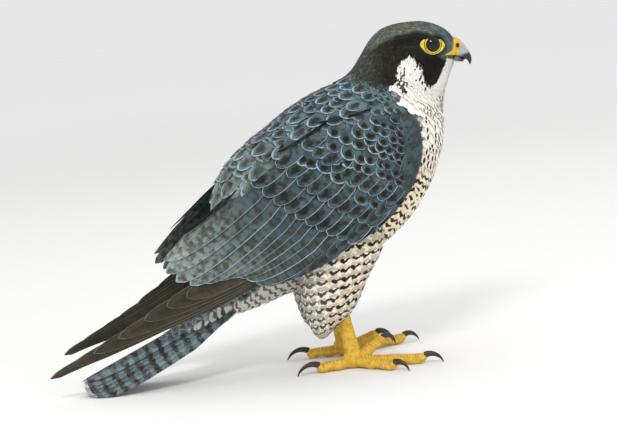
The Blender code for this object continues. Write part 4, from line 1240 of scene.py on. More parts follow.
def lay_body(name, chosen, slot, seed, shape):
    """Contour feathers on the part of the body that chosen picks, from the bill's root back."""
    rng = np.random.default_rng(seed)
    firsts, seconds = np.linspace(0.02, BODY_END - 0.02, 700), np.linspace(0, math.tau, 241)
    first, second, unwrap = staggered(body_surface, firsts, seconds, body_gap, 1.05, SEEDS["body_roots"])
    root = body_surface(first, second)
    length = body_gap(root) * 2.4
    step = np.linalg.norm(body_surface(first + STEP, second) - root, axis=-1) / STEP
    tips = body_surface(first + length * 0.8 / np.maximum(step, 1e-3), second)
    bare = near_eye(root, -0.2) | near_eye(tips, -0.8) | near_eye((root + tips) / 2, -0.6)
    keep = chosen(root) & ~bare & ~on_cere(first, second)
    first, second, unwrap, root, tips = chosen_only(keep, first, second, unwrap, root, tips)
    gap = body_gap(root)
    depth = coat_depth(root)
    tone, mark, edge, form = plumage_colours(root * 0.2 + tips * 0.8)
    dark = eased((0.5 - tone.mean(-1)) / 0.2)
    tone = speckled(tone, dark, gap, rng)
    above = root[:, 2] > FLECK_FLOOR
    flecked = above & (gap < FINE_GAP) & (rng.uniform(0, 1, len(form)) < form[:, 0] * 0.45)
    tone = np.where(flecked[:, None], mark * rng.uniform(1.0, 4.0, (len(tone), 1)), tone)
    edge = np.where(flecked[:, None], tone, edge)
    form[:, 0] *= (rng.uniform(0, 1, len(form)) < 0.62) * (root[:, 2] < FLECK_FLOOR)
    form[:, 2] *= 1 - dark * rng.uniform(0.15, 0.9, len(form))
    mark = np.concatenate([mark, np.full((len(mark), 1), 0.19)], -1)
    colours = {"tone": np.clip(tone, 0, 1), "mark": mark, "edge": np.clip(edge, 0, 1), "form": form}
    lift = (-depth - 0.2, rng.uniform(-0.30, 0.10, len(depth)) * np.minimum(gap / 6, 1))
    fine = eased((3.2 - gap) / 1.0)
    length, width = varied(gap * (2.3 + 1.1 * fine), rng, 0.14), varied(gap * (1.65 - 0.35 * fine), rng)
    sizes = (length, width, vane_thickness() * np.minimum(gap / 4, 1)[:, None, None])
    mesher = Mesher(name)
    contour_feathers(mesher, body_surface, (first, second, unwrap), sizes, lift, colours, shape=shape)
    mesher.make(feathered("contour_feather"), slot=slot)


def vane_thickness():
    """Half a small feather's thickness in mm."""
    return bpy.context.scene.falcon_sizes.vane / MM


class FALCON_OT_head(bpy.types.Operator):
    """Fine feathers of the head and neck, smallest on the face"""

    bl_idname = "falcon.head_feathers"
    bl_label = "Head feathers"

    def execute(self, context):
        lay_body("head_feathers", on_head, "hood", SEEDS["head"], TINY_SHAPE)
        return {"FINISHED"}


class FALCON_OT_body(bpy.types.Operator):
    """Feathers of the breast, belly, back and rump"""

    bl_idname = "falcon.body_feathers"
    bl_label = "Body feathers"

    def execute(self, context):
        below = lambda points: ~on_head(points)
        lay_body("body_feathers", below, "plumage_pale", SEEDS["body"], SMALL_SHAPE)
        return {"FINISHED"}


class FALCON_OT_thighs(bpy.types.Operator):
    """The barred feather trousers"""

    bl_idname = "falcon.thigh_feathers"
    bl_label = "Thigh feathers"

    def execute(self, context):
        rng = np.random.default_rng(SEEDS["thighs"])
        firsts, seconds = np.linspace(0.3, len(THIGH) - 1.2, 200), np.linspace(0, math.tau, 121)
        gap_at = lambda points: 6.4 + 2.2 * eased((points[..., 2] - 30) / 40)
        first, second, unwrap = staggered(thigh_surface, firsts, seconds, gap_at, 1.1, SEEDS["thigh_roots"])
        root = thigh_surface(first, second)
        gap = gap_at(root)
        hem = eased((50 - root[:, 2]) / 14)
        length, width = varied(gap * (2.1 + 0.9 * hem), rng), varied(gap * 1.75, rng)
        tips = root - np.array([0, 0, 1.0]) * (length * 0.7)[:, None]
        _, mark, _, form = plumage_colours(tips)
        form[:, 1] = 1.0
        form[:, [0, 2, 3]] = 0.0
        style = context.scene.falcon_colours
        pale = blend(np.array(style.breast), np.array(style.belly), rng.uniform(0.2, 0.8, len(root)))
        tone = pale * rng.uniform(0.88, 1.06, (len(root), 1))
        mark = np.concatenate([mark, np.full((len(mark), 1), 0.17)], -1)
        colours = {"tone": np.clip(tone, 0, 1), "mark": mark, "edge": tone * 0.7, "form": form}
        mesher = Mesher("thigh_feathers")
        for side in SIDES.values():
            lift = (np.full(len(gap), -1.8), rng.uniform(-0.2, 0.3, len(gap)))
            spots = (first, second, half_unwrap(unwrap, 0.0 if side < 0 else 0.5))
            move = lambda points, side=side: sideways(points, -side)
            sizes = (length, width, vane_thickness())
            contour_feathers(mesher, thigh_surface, spots, sizes, lift, colours, -1.0, move)
        mesher.make(feathered("contour_feather"), slot="plumage_pale")
        return {"FINISHED"}


def half_unwrap(unwrap, start):
    """The unwrap's places moved to one half of the map, from start."""
    return unwrap * np.array([0.49, 1.0]) + np.array([start, 0.0])


def covert_colours(tone, edge, mark, many, rng, form, bars):
    """Colours for so many feathers, each a little unlike the others, with this many bars along each."""
    mark = np.broadcast_to(np.asarray(mark, float), (many, 3))
    tone = np.broadcast_to(np.asarray(tone, float), (many, 3)) * rng.uniform(0.82, 1.18, (many, 1))
    edge = np.broadcast_to(np.asarray(edge, float), (many, 3)) * rng.uniform(0.85, 1.1, (many, 1))
    mark = np.concatenate([mark, np.full((many, 1), bars / 10)], -1)
    form = np.broadcast_to(np.asarray(form, float), (many, 4)).copy()
    form[:, 2] *= rng.uniform(0.35, 1.0, many)
    return {"tone": np.clip(tone, 0, 1), "edge": np.clip(edge, 0, 1), "mark": mark, "form": form}


WRIST_HEADING = 0.95
PRIMARY_EDGE = (0.19, 0.18, 0.14)
WING_CELLS = 10
LOWER_VANES = 13
# Painted shadow: the tone, roots and tips of four near-black vanes along the wing's back edge, which stand
# for the shadow in the gap between wing and back
GAP_SHADOW_TONE = (0.006, 0.006, 0.005)
GAP_SHADOW_ROOTS = np.array([(2.0, 214.0), (-30.0, 206.5), (-68.0, 185.5), (-98.0, 156.0)])
GAP_SHADOW_TIPS = np.array([(-42.0, 202.5), (-80.0, 175.0), (-112.0, 143.5), (-150.0, 108.5)])
SCAPULARS = (11, 4)


def wing_palette():
    """Slate, fringe and mark colours as arrays."""
    style = bpy.context.scene.falcon_colours
    return np.array(style.mantle), np.array(style.fringe), np.array(style.marks)


def wrist_coverts(mesher, rng, move):
    """Small feathers rolled over the wrist, on the core's outer face."""
    slate, fringe, marks = wing_palette()
    firsts, seconds = np.linspace(-0.55, 1.6, 200), np.linspace(0.0, 1.0, 101)
    gap_at = lambda points: 3.4 + 1.6 * eased((38 - points[..., 0]) / 14)
    first, second, unwrap = staggered(wing_cover, firsts, seconds, gap_at, 1.1, SEEDS["wrist_roots"])
    root = wing_cover(first, second)
    first, second, unwrap, root = chosen_only(root[:, 0] > 26, first, second, unwrap, root)
    many = len(root)
    colours = covert_colours(slate * 0.75, fringe * 0.55, marks, many, rng, (0, 0.0, 0.5, 0.9), 2)
    lift = (np.full(many, -1.2), rng.uniform(0.1, 0.45, many))
    gap = gap_at(root)
    sizes = (varied(gap * 2.6, rng), varied(gap * 1.3, rng), vane_thickness())
    spots = (first, second, half_unwrap(unwrap, 0.0))
    contour_feathers(mesher, wing_cover, spots, sizes, lift, colours, -1.0, move, WRIST_HEADING)


def scale_coverts(mesher, rng, move):
    """Small feathers like scales over the front of the wing, above a slanting line."""
    slate, fringe, marks = wing_palette()
    firsts, seconds = np.linspace(-100.0, 100.0, 200), np.linspace(-110.0, 110.0, 200)
    gap_at = lambda points: 7.0 + 3.6 * eased((26 - points[..., 0]) / 50)
    first, second, unwrap = staggered(wing_scales, firsts, seconds, gap_at, 1.08, SEEDS["scale_roots"])
    root = wing_scales(first, second)
    place, down = wing_place(*scale_spot(first, second))
    above = root[:, 2] - 196 + (root[:, 0] + 55) * 0.75 > -2
    inside = (place > 0.12) & (place < 5.4) & (down > 0.02) & (down < 0.93)
    keep = above & inside & (root[:, 0] < 34)
    first, second, unwrap, root = chosen_only(keep, first, second, unwrap, root)
    many = len(root)
    colours = covert_colours(slate * 0.86, fringe, marks * 0.5, many, rng, (0, 0.0, 1.0, 1.0), 2)
    front = eased((root[:, 0] - 8) / 24)[:, None]
    colours["tone"] = colours["tone"] * (1 - 0.4 * front)
    colours["edge"] = colours["edge"] * (1 - 0.45 * front)
    lift = (np.full(many, -1.0), rng.uniform(0.7, 1.2, many))
    gap = gap_at(root)
    sizes = (varied(gap * 2.1, rng), varied(gap * 1.35, rng), vane_thickness())
    spots = (first, second, half_unwrap(unwrap, 0.5))
    heading = rng.uniform(-0.12, 0.12, many)
    contour_feathers(mesher, wing_scales, spots, sizes, lift, colours, 1.0, move, heading)


def primaries(mesher, rng, move):
    """The longest vanes, from a row of roots to PRIMARY_TIPS, each 0.9 mm further out than the last."""
    many = len(PRIMARY_TIPS)
    roots = np.array(PRIMARY_ROOT) + np.array([-2.0, 2.2]) * np.arange(many)[:, None]

    def lift(share, flat, index):
        depth = eased((flat[..., 0] - PRIMARY_TIPS[0][0]) / 92.0) * 8.0
        return 0.9 * index - depth - 0.3

    style = bpy.context.scene.falcon_colours
    colours = covert_colours(style.flight, PRIMARY_EDGE, style.marks, many, rng, (0, 0, 0.6, 0.45), 0)
    widths = np.linspace(16.0, 20.0, many)
    long_vanes(
        mesher, on_wing, (roots, PRIMARY_TIPS), widths, 1.5, lift, 0.0, 0.28, colours, WING_CELLS, 5.0, move
    )


def secondaries(mesher, rng, move):
    """Barred vanes from a line of roots to SECONDARY_TIPS, paler towards their tips, the upper ones most."""
    slate, fringe, marks = wing_palette()
    many = len(SECONDARY_TIPS)
    share = (np.arange(many) / (many - 1))[:, None]
    roots = np.array(SECONDARY_ROOTS[0]) * (1 - share) + np.array(SECONDARY_ROOTS[1]) * share
    colours = covert_colours(slate * 0.8, fringe, marks * 1.7, many, rng, (0, 0.65, 0.80, 0.15), 20)
    paler = ((1 - share) ** 1.5)[:, None, None]
    toward_tip = eased(LONG_ALONG * 1.5 - 0.5)[None, :, None, None]
    tip_tone = np.array(bpy.context.scene.falcon_colours.rump) * (0.45 + 1.0 * paler)
    colours["tone"] = colours["tone"][:, None, None] * (1 - toward_tip) + tip_tone * toward_tip
    deep = 1 + 1.2 * paler * toward_tip
    colours["mark"] = colours["mark"][:, None, None] * np.concatenate([np.repeat(deep, 3, -1), deep**0], -1)
    lift = lambda share, flat, index: -1.9 + 0.0 * index
    ends, widths = (roots, SECONDARY_TIPS), 21.0 - 3.0 * share[:, 0]
    long_vanes(mesher, on_wing, ends, widths, 3.0, lift, 0.13, 0.26, colours, WING_CELLS, 6.0, move)


def covert_tiers(mesher, rng, move):
    """Tiers of larger coverts with their tips on bowed lines, each tier 0.25 mm further out than the last."""
    slate, fringe, marks = wing_palette()
    for tier, (many, head, last, bow, length, width) in enumerate(COVERT_TIERS):
        share = (np.arange(many) / (many - 1))[:, None]
        tips = np.array(head) * (1 - share) + np.array(last) * share
        tips = tips + np.array([0.0, -bow]) * 4 * share * (1 - share)
        slope = np.radians(47.0 + 11.0 * share[:, 0])
        roots = tips + np.stack([np.cos(slope), np.sin(slope)], -1) * length
        colours = covert_colours(slate * 0.84, fringe, marks * 0.5, many, rng, (0, 0.6, 1.0, 0.85), 5.0)
        lift = lambda share, flat, index, tier=tier: -2.3 + 3.2 * share + 0.25 * tier
        ends = (roots, tips)
        long_vanes(mesher, on_wing, ends, width, 1.0, lift, 0.09, 0.26, colours, WING_CELLS, 4.0, move)


def edge_vanes_and_gap_shadow(mesher, rng, move):
    """A row of short vanes along the wing's lower edge, then four narrow near-black ones along its back edge
    as painted shadow of the gap between wing and back.
    """
    slate, fringe, marks = wing_palette()
    step = np.arange(LOWER_VANES)[:, None]
    roots = np.array([36.0, 160.0]) + np.array([-8.2, -7.6]) * step
    tips = roots + np.array([-25.0, -24.0]) + np.array([0.4, 1.1]) * step
    colours = covert_colours(slate * 0.7, fringe * 0.7, marks, LOWER_VANES, rng, (0, 0.0, 0.7, 0.8), 2)
    lift = lambda share, flat, index: -1.0 + 2.4 * share
    ends = (roots, tips)
    long_vanes(mesher, on_wing, ends, 11.0, 0.6, lift, 0.04, 0.24, colours, WING_CELLS, 4.0, move)
    # Painted shadow: near-black narrow vanes laid along the back edge where the gap between wing and back is
    # in shade
    many = len(GAP_SHADOW_ROOTS)
    colours = covert_colours(GAP_SHADOW_TONE, fringe * 0.3, marks, many, rng, (0, 0.0, 0.05, 0.0), 2)
    lift = lambda share, flat, index: 0.2 + 0.5 * share
    ends = (GAP_SHADOW_ROOTS, GAP_SHADOW_TIPS)
    long_vanes(mesher, on_wing, ends, 2.6, 1.5, lift, 0.0, 0.22, colours, WING_CELLS, 3.0, move)


def scapulars(mesher, rng, side):
    """Four columns of shoulder feathers on the body's surface, longer and paler towards the rear."""
    slate, fringe, marks = wing_palette()
    rump = np.array(bpy.context.scene.falcon_colours.rump)
    rows, columns = SCAPULARS
    row, column = (grid.ravel() for grid in np.meshgrid(np.arange(rows), np.arange(columns), indexing="ij"))
    many = len(row)
    first = 9.4 + 0.66 * row + 0.30 * (column % 2) + rng.uniform(-0.08, 0.08, many)
    second = 0.30 + 0.24 * column + rng.uniform(-0.03, 0.03, many)
    rear = eased((row - 3) / 7)
    length, width = varied(24.0 + 30.0 * rear, rng), varied(11.5 + 2.5 * rear, rng)
    colours = covert_colours(slate * 1.2, fringe, marks * 0.6, many, rng, (0, 0.0, 0.9, 0.8), 4.5)
    colours["tone"] = blend(colours["tone"], rump * 1.05, rear * 0.85)
    fringes = rng.uniform(0.35, 0.9, many)
    colours["form"] = np.stack([0 * rear, 0.5 * rear, fringes, 0.85 - 0.45 * rear], -1)
    lift = (np.full(many, -1.6), 0.5 + 0.5 * rear + rng.uniform(-0.2, 0.2, many))
    unwrap = np.stack([0.04 + 0.92 * column / (columns - 1), 0.04 + 0.92 * row / (rows - 1)], -1)
    spots, sizes = (first, second, unwrap), (length, width, vane_thickness())
    move = lambda points: sideways(points, side)
    contour_feathers(mesher, body_surface, spots, sizes, lift, colours, -1.0, move)


class FALCON_OT_wings(bpy.types.Operator):
    """Both wings: small coverts, flight feathers with the larger coverts over them, and scapulars"""

    bl_idname = "falcon.wing_feathers"
    bl_label = "Wing feathers"

    def execute(self, context):
        for name, side in SIDES.items():
            rng = np.random.default_rng(SEEDS["wings"])
            move = lambda points, side=side: mirrored(points, side)
            small = Mesher("small_coverts_" + name)
            wrist_coverts(small, rng, move)
            scale_coverts(small, rng, move)
            small.make(feathered("covert_feather"), slot="plumage_dark")
            large = Mesher("flight_feathers_" + name)
            for lay in (primaries, secondaries, covert_tiers, edge_vanes_and_gap_shadow):
                lay(large, rng, move)
            large.make(feathered("flight_feather"), ["wing_" + name], "plumage_dark")
            shoulder = Mesher("scapulars_" + name)
            scapulars(shoulder, rng, side)
            shoulder.make(feathered("covert_feather"), slot="plumage_dark")
        return {"FINISHED"}


TAIL_TONE = (0.17, 0.225, 0.25)
TAIL_EDGE = (0.78, 0.76, 0.70)
TAIL_CELLS = 5
UNDERTAIL_EDGE = np.array([0.62, 0.60, 0.54])


class FALCON_OT_tail(bpy.types.Operator):
    """Twelve barred tail feathers and the coverts above and below them"""

    bl_idname = "falcon.tail_feathers"
    bl_label = "Tail feathers"

    def execute(self, context):
        rng = np.random.default_rng(SEEDS["tail"])
        style = context.scene.falcon_colours
        tail = Mesher("tail_feathers")
        roots, tips, widths, layers = [], [], [], []
        for side in SIDES.values():
            roots.append((16.0, side * 1.0))
            tips.append((TAIL_LENGTH, side * 2.0))
            widths.append(25.0)
            layers.append(int(side > 0))
            for i in range(1, 6):
                outer = 13.7 + 2.09 * i
                middle = (0.4 + outer) / 2
                roots.append((16.0, side * middle * 0.6))
                tips.append((TAIL_LENGTH + 0.9 * i - 0.25 * i * i, side * middle))
                widths.append(outer - 0.4)
                layers.append(i + 1)
        layers = np.array(layers)
        many = len(layers)
        marks = np.array(style.marks) * 1.3
        colours = covert_colours(TAIL_TONE, TAIL_EDGE, marks, many, rng, (0, 0.9, 1.0, 0.1), 13)
        lift = lambda share, flat, index: 2.6 - 0.95 * layers[index]
        long_vanes(tail, tail_surface, (roots, tips), widths, 0.0, lift, 0.0, 0.26, colours, TAIL_CELLS, 7.0)
        tail.make(feathered("tail_feather"), ["tail"], "plumage_dark")

        coverts = Mesher("tail_coverts")
        firsts, seconds = np.linspace(0.2, len(TAIL_COVERTS) - 1.3, 120), np.linspace(0, math.tau, 81)
        gap_at = lambda points: 6.5 + 0 * points[..., 0]
        seed = SEEDS["tail_covert_roots"]
        first, second, unwrap = staggered(tail_cover, firsts, seconds, gap_at, 1.0, seed)
        under = eased((0.25 - np.cos(second)) / 0.5)
        many = len(first)
        colours = covert_colours(style.rump, style.fringe, style.marks, many, rng, (0, 0, 0.9, 0.4), 1.8)
        colours["tone"] = blend(colours["tone"], np.array(style.vent), under)
        colours["edge"] = blend(colours["edge"], UNDERTAIL_EDGE, under)
        colours["form"] = np.stack([0 * under, 0.35 + 0.55 * under, 0.8 * (1 - under), 0.3 * (1 - under)], -1)
        lift = (np.full(many, -1.6), rng.uniform(0.0, 0.5, many))
        sizes = (varied(np.full(many, 17.0), rng), varied(np.full(many, 11.0), rng), vane_thickness())
        contour_feathers(coverts, tail_cover, (first, second, unwrap), sizes, lift, colours)
        coverts.make(feathered("contour_feather"), slot="plumage_dark")
        return {"FINISHED"}


PUPIL_TONE = np.array([0.001, 0.001, 0.001])
IRIS_TONE = np.array([0.012, 0.007, 0.004])
IRIS_RIM_TONE = np.array([0.003, 0.002, 0.002])
# The darker of these two is painted shade, for where each eye ring's section turns down to the skin and into
# the crease between the rings; the other multiplies the colour on the crest
LID_CREASE_SHADE = np.array([0.07, 0.06, 0.03])
LID_CREST = np.array([1.0, 1.12, 1.1])
LID_GRID = (96, 14)
LID_BEADS = 34
LID_RISE = 0.85


def eyeball(name, side):
    """A sphere round the axis that the eye looks along. Pupil and iris are bands of the tilt from it."""
    eye = Mesher("eyeball_" + name)
    axis = np.array([math.sin(EYE_TURN), side * math.cos(EYE_TURN), 0.0])
    fore = np.array([axis[1], -axis[0], 0.0])
    tilt, turn = ring_grid(0.02, math.pi - 0.02, 40, 56)
    local = (
        axis * np.cos(tilt)[..., None]
        + fore * (np.sin(tilt) * np.cos(turn))[..., None]
        + np.array([0, 0, 1.0]) * (np.sin(tilt) * np.sin(turn))[..., None]
    )
    iris = blend(PUPIL_TONE, IRIS_TONE, eased((tilt - 0.46) / 0.08))
    iris = blend(iris, IRIS_RIM_TONE, eased((tilt - 0.74) / 0.1))
    eye.tube(sideways(np.array(EYE_CENTRE), side) + local * EYE_RADIUS, iris)
    eye.make(shared("wet_dark_eye", eye_material), ["eye_" + name], "eye", baked=False)


def round_ring(radius):
    """The outline of a circle, as a function of the turn."""
    return lambda turn: (radius * np.cos(turn), radius * np.sin(turn))


def lid_ring(lid, side, inner, outer, sink):
    """A beaded ring between two outlines, oval in section, sunk by so much at its inner and outer edge, with
    painted shade where its section turns down to the skin.
    """
    around, beside = LID_GRID
    turn, tube = np.meshgrid(whole_turn(around), whole_turn(beside), indexing="ij")
    mix = 0.5 + 0.5 * np.cos(tube)
    (inner_x, inner_z), (outer_x, outer_z) = inner(turn), outer(turn)
    x = EYE_CENTRE[0] + inner_x + (outer_x - inner_x) * mix
    z = EYE_CENTRE[2] + inner_z + (outer_z - inner_z) * mix
    beads = 0.08 * np.sin(turn * LID_BEADS) * np.sin(tube) ** 2
    level = EYE_LEVEL - EYE_LEAN * (x - EYE_CENTRE[0]) - sink[0] - (sink[1] - sink[0]) * mix
    level = level - 1.5 * eased((z - EYE_CENTRE[2] - 2.6) / 3.0)
    points = np.stack([x, side * (level + (LID_RISE + beads) * np.sin(tube)), z], -1)
    # Painted shade: each ring darkens away from its crest, down to the skin at its edges and in the crease
    # between the two rings
    shade = blend(LID_CREASE_SHADE, LID_CREST, eased(np.sin(tube) * 1.5 - 0.15))
    index = np.arange(around * beside).reshape(LID_GRID)
    ahead, up = np.roll(index, -1, axis=0), np.roll(index, -1, axis=1)
    quads = np.stack([index, ahead, np.roll(ahead, -1, axis=1), up], -1).reshape(-1, 4)
    if side > 0:
        quads = quads[:, ::-1]
    lid.add(points.reshape(-1, 3), [quads], {"tone": shade}, None, None, LID_GRID)


class FALCON_OT_eyes(bpy.types.Operator):
    """Dark wet eyes, each in its bare yellow ring"""

    bl_idname = "falcon.eyes"
    bl_label = "Eyes"

    def execute(self, context):
        for name, side in SIDES.items():
            eyeball(name, side)
            lid = Mesher("eye_ring_" + name)
            lid_ring(lid, side, round_ring(LID_INNER), round_ring(LID_MIDDLE - 0.1), (-0.1, 0.0))
            lid_ring(lid, side, round_ring(LID_MIDDLE + 0.1), almond, (0.1, 0.7))
            lid.make(bare_material(), slot="yellow_skin", baked=False)
        return {"FINISHED"}


# Sections of the bill: fullness and how far down they are widest
UPPER_SECTION = (2.3, 0.76)
LOWER_SECTION = (2.6, 0.25)
LOWER_RAISED = np.array([0, 1.1, 0, 0, 0])
CERE_TONE = np.array([0.9, 0.95, 0.9])
# Painted shade inside the nostril's pit
NOSTRIL_PIT_SHADE = np.array([0.05, 0.04, 0.03])
BARE_FACE_TONE = (0.97, 0.97, 0.95)


class FALCON_OT_bill(bpy.types.Operator):
    """The hooked bill, its lower half, and the bare cere with its nostrils"""

    bl_idname = "falcon.bill"
    bl_label = "Bill"

    def execute(self, context):
        style = context.scene.falcon_colours
        base, tip = np.array(style.horn_base), np.array(style.horn_tip)
        place, turn = ring_grid(0, len(CERE) - 1, 30, 64)
        points = pair_surface(CERE, place, turn, *UPPER_SECTION)
        away = np.hypot(points[..., 0] - NOSTRIL[0], points[..., 2] - NOSTRIL[1])
        rim = 0.45 * soft_spot((away - 2.1) / 0.5)
        pit = 2.0 * np.exp(-((away / 1.55) ** 4)) - 1.2 * np.exp(-((away / 0.5) ** 2))
        points[..., 1] += np.sign(points[..., 1]) * (rim - pit) * (np.abs(points[..., 1]) > 2)
        cere = Mesher("bare_cere")
        # Painted shade: the cere darkens into the nostril's pit as the pit deepens
        cere.tube(points, blend(CERE_TONE, NOSTRIL_PIT_SHADE, eased(pit / 0.6)))
        reach, across = np.meshgrid(np.linspace(0, 1, 40), np.linspace(-1, 1, 90), indexing="ij")
        place = 0.04 + reach * (np.interp(np.abs(across), CERE_BACK[:, 0], CERE_BACK[:, 1]) - 0.04)
        turn = across * (GAPE_TURN - GAPE_SLOPE * place)
        fade_back, fade_down = np.maximum(1 - reach**6, 0.02), np.maximum(1 - np.abs(across) ** 16, 0.02)
        outer = lifted(body_surface, place, turn, 0.55 * np.sqrt(fade_back) * np.sqrt(fade_down))
        inner = lifted(body_surface, place, turn, np.full(place.shape, -1.2))
        cere.tube(np.concatenate([outer, inner[:, ::-1]], axis=1), BARE_FACE_TONE)
        cere.make(bare_material(), ["cere"], "yellow_skin", baked=False)

        bill = Mesher("horn_bill")
        place, turn = ring_grid(0, len(BILL_UPPER) - 1, 60, 48)
        points = pair_surface(BILL_UPPER, place, turn, *UPPER_SECTION)
        below = 258.2 - points[..., 2] + (points[..., 0] - 84) * 0.35
        bill.tube(points, blend(base, tip, eased((below + wobble(points, 0.8, 6) * 0.6) / 3.2)))
        place, turn = ring_grid(0, len(BILL_LOWER) - 1, 30, 40)
        points = pair_surface(BILL_LOWER + LOWER_RAISED, place, turn, *LOWER_SECTION)
        bill.tube(points, blend(base * 0.5, tip, eased((place - 0.6) / 2.4)))
        bill.make(shared("streaked_horn", horn_material), ["bill_upper", "bill_lower"], "horn", baked=False)
        return {"FINISHED"}


def unpitched(points):
    """Points given in the standing pose, in mm, turned back so that stand puts them where they were."""
    x, y, z = np.moveaxis(np.asarray(points, float), -1, 0)
    cos, sin = math.cos(PITCH), math.sin(PITCH)
    return np.stack([x * cos - z * sin, y, z * cos + x * sin], -1)


def swept(centres, radii, turn):
    """Round sections square to a path that isn't upright, each point by its own radius at its turn."""
    step = np.gradient(centres, axis=0)
    step = step / np.linalg.norm(step, axis=1)[:, None]
    level = np.cross(step, [0, 0, 1.0])
    level = level / np.linalg.norm(level, axis=1)[:, None]
    rise = np.cross(level, step)
    spoke = level[:, None] * np.cos(turn)[..., None] + rise[:, None] * np.sin(turn)[..., None]
    return centres[:, None] + spoke * radii[..., None]


# Places along a toe, and where under its joints its pads are, with their widths, as shares of its length
TOE_PLACES = np.array([0.0, 0.18, 0.31, 0.43, 0.58, 0.72, 0.86, 1.0])
TOE_PADS = ((0.42, 0.11), (0.84, 0.12))
SCUTES = 15
SCUTE_LENGTH = 2.6
TOE_RINGS = 110


def toe_path(toe, side):
    """Centres and radii of a toe from inside the foot to its last pad, with a pad under each joint."""
    heading, length, radius, lift = toe[:4]
    pads = sum(soft_spot((TOE_PLACES - place) / wide) for place, wide in TOE_PADS)
    radii = radius * (1.0 - 0.20 * TOE_PLACES + 0.16 * pads)
    radii[-1] *= 0.74
    height = radii - 0.4 + 1.5 * (1 - np.clip(pads, 0, 1)) * (TOE_PLACES < 0.9) + lift * TOE_PLACES
    height[-1] = height[-2] + 2.0
    heading = math.radians(heading) * -side
    reach = length * TOE_PLACES
    x, y = FOOT_CENTRE[0] + reach * math.cos(heading), side * LEG_Y + reach * math.sin(heading)
    return np.stack([x, y, height], -1), radii


def on_floor(points, height=0.0):
    """The points, none lower than height."""
    points[..., 2] = np.maximum(points[..., 2], height)
    return points


def shank(foot, side):
    """An upright tube from the thigh to the foot, with ridges of scutes down its front."""
    top = stand(np.array([TARSUS_TOP[0], 0.0, TARSUS_TOP[1]])) / MM + np.array([ORIGIN_X, 0, 0])
    share, turn = ring_grid(0, 1, 90, 40)
    radii = along(TARSUS_RADII, share * (len(TARSUS_RADII) - 1))
    front = np.clip(np.cos(turn), 0, 1)
    ridge = np.abs(np.sin(share * math.pi * SCUTES))
    plates = 0.28 * ridge**0.6 * front
    x = top[0] + (TARSUS_FOOT[0] - top[0]) * share + (radii[..., 0] + plates) * np.cos(turn)
    y = side * LEG_Y + (radii[..., 1] + plates) * np.sin(turn)
    z = top[2] + (TARSUS_FOOT[1] - top[2]) * share
    shade = 0.50 + 0.50 * ridge**0.4 * front + 0.42 * (1 - front)
    foot.tube(unpitched(np.stack([x, y, z], -1)), shade[..., None])


def sole(foot, side):
    """The foot's middle as an ellipsoid, flat where it meets the floor."""
    tilt, turn = ring_grid(0.03, math.pi - 0.03, 30, 40)
    ball = np.stack([np.sin(tilt) * np.cos(turn), np.sin(tilt) * np.sin(turn), np.cos(tilt)], -1)
    ball = ball * np.array(FOOT_RADII) + np.array([FOOT_CENTRE[0], side * LEG_Y, FOOT_CENTRE[1]])
    foot.tube(unpitched(on_floor(ball)), np.full(3, 0.95))


def toe_skin(foot, toe, centres, radii):
    """A tube along the toe's path: scutes on top, small bumps below, and a quarter circle at its end."""
    rows = np.concatenate([centres, radii[:, None]], 1)
    fine = along(rows, np.linspace(0, len(rows) - 1, TOE_RINGS))
    reach = np.linspace(0, 1, TOE_RINGS)[:, None]
    turn = np.broadcast_to(whole_turn(36), (TOE_RINGS, 36))
    upper = np.clip(np.sin(turn), 0, 1) ** 0.7
    plates = np.abs(np.sin(reach * math.pi * toe[1] / SCUTE_LENGTH)) ** 0.6
    bumps = 0.08 * np.sin(turn * 9) * np.sin(reach * 70) * (upper < 0.05)
    thick = fine[:, 3:4] * (1 + 0.08 * (plates - 0.5) * upper) + bumps
    close = np.sqrt(np.clip(1 - np.clip((reach - 0.93) / 0.07, 0, 1) ** 2, 0.06, 1))
    shade = 1.0 - 0.55 * (1 - plates) * upper - 0.14 * (np.sin(turn) < -0.3)
    foot.tube(unpitched(on_floor(swept(fine[:, :3], thick * close, turn))), shade[..., None])


def claw(claws, toe, centres, tip):
    """A horn along an arc from the toe's last pad: its slope turns evenly and its width closes by a power."""
    length, first, last = toe[4:]
    share = np.linspace(0, 1, 40)
    angle = np.radians(first + (last - first) * share)
    step = length / (len(share) - 1)
    ahead = centres[-1] - centres[-2]
    ahead[2] = 0
    ahead = ahead / np.linalg.norm(ahead)
    run, rise = (np.concatenate([[0], np.cumsum(wave(angle[:-1]) * step)]) for wave in (np.cos, np.sin))
    start = centres[-1] + ahead * -1.6 + np.array([0, 0, 0.9])
    path = start + ahead * run[:, None] + np.array([0, 0, 1.0]) * rise[:, None]
    width = CLAW_RADIUS * (1 - share**1.35 * 0.93)
    turn = np.broadcast_to(whole_turn(20), (len(share), 20))
    rings = swept(path, width[:, None] * (1 - 0.12 * np.abs(np.cos(turn))), turn)
    tone = blend(tip * 1.8, tip * 0.6, eased(share)[:, None] + 0 * turn)
    claws.tube(unpitched(on_floor(rings, 0.3)), tone)


class FALCON_OT_feet(bpy.types.Operator):
    """Scaly shanks and toes with pads, and curved claws"""

    bl_idname = "falcon.feet"
    bl_label = "Feet"

    def execute(self, context):
        tip = np.array(context.scene.falcon_colours.horn_tip)
        for name, side in SIDES.items():
            foot, claws = Mesher("scaly_foot_" + name), Mesher("claws_" + name)
            shank(foot, side)
            sole(foot, side)
            for toe in TOES.values():
                centres, radii = toe_path(toe, side)
                toe_skin(foot, toe, centres, radii)
                claw(claws, toe, centres, tip)
            nodes = [f"{part}_{name}" for part in ("tarsus", "foot", *TOES)]
            foot.make(shared("scaly_yellow_skin", scaly_material), nodes, "yellow_skin", baked=False)
            nodes = [f"{part}_claw_{name}" for part in TOES]
            claws.make(shared("streaked_horn", horn_material), nodes, "horn", baked=False)
        return {"FINISHED"}


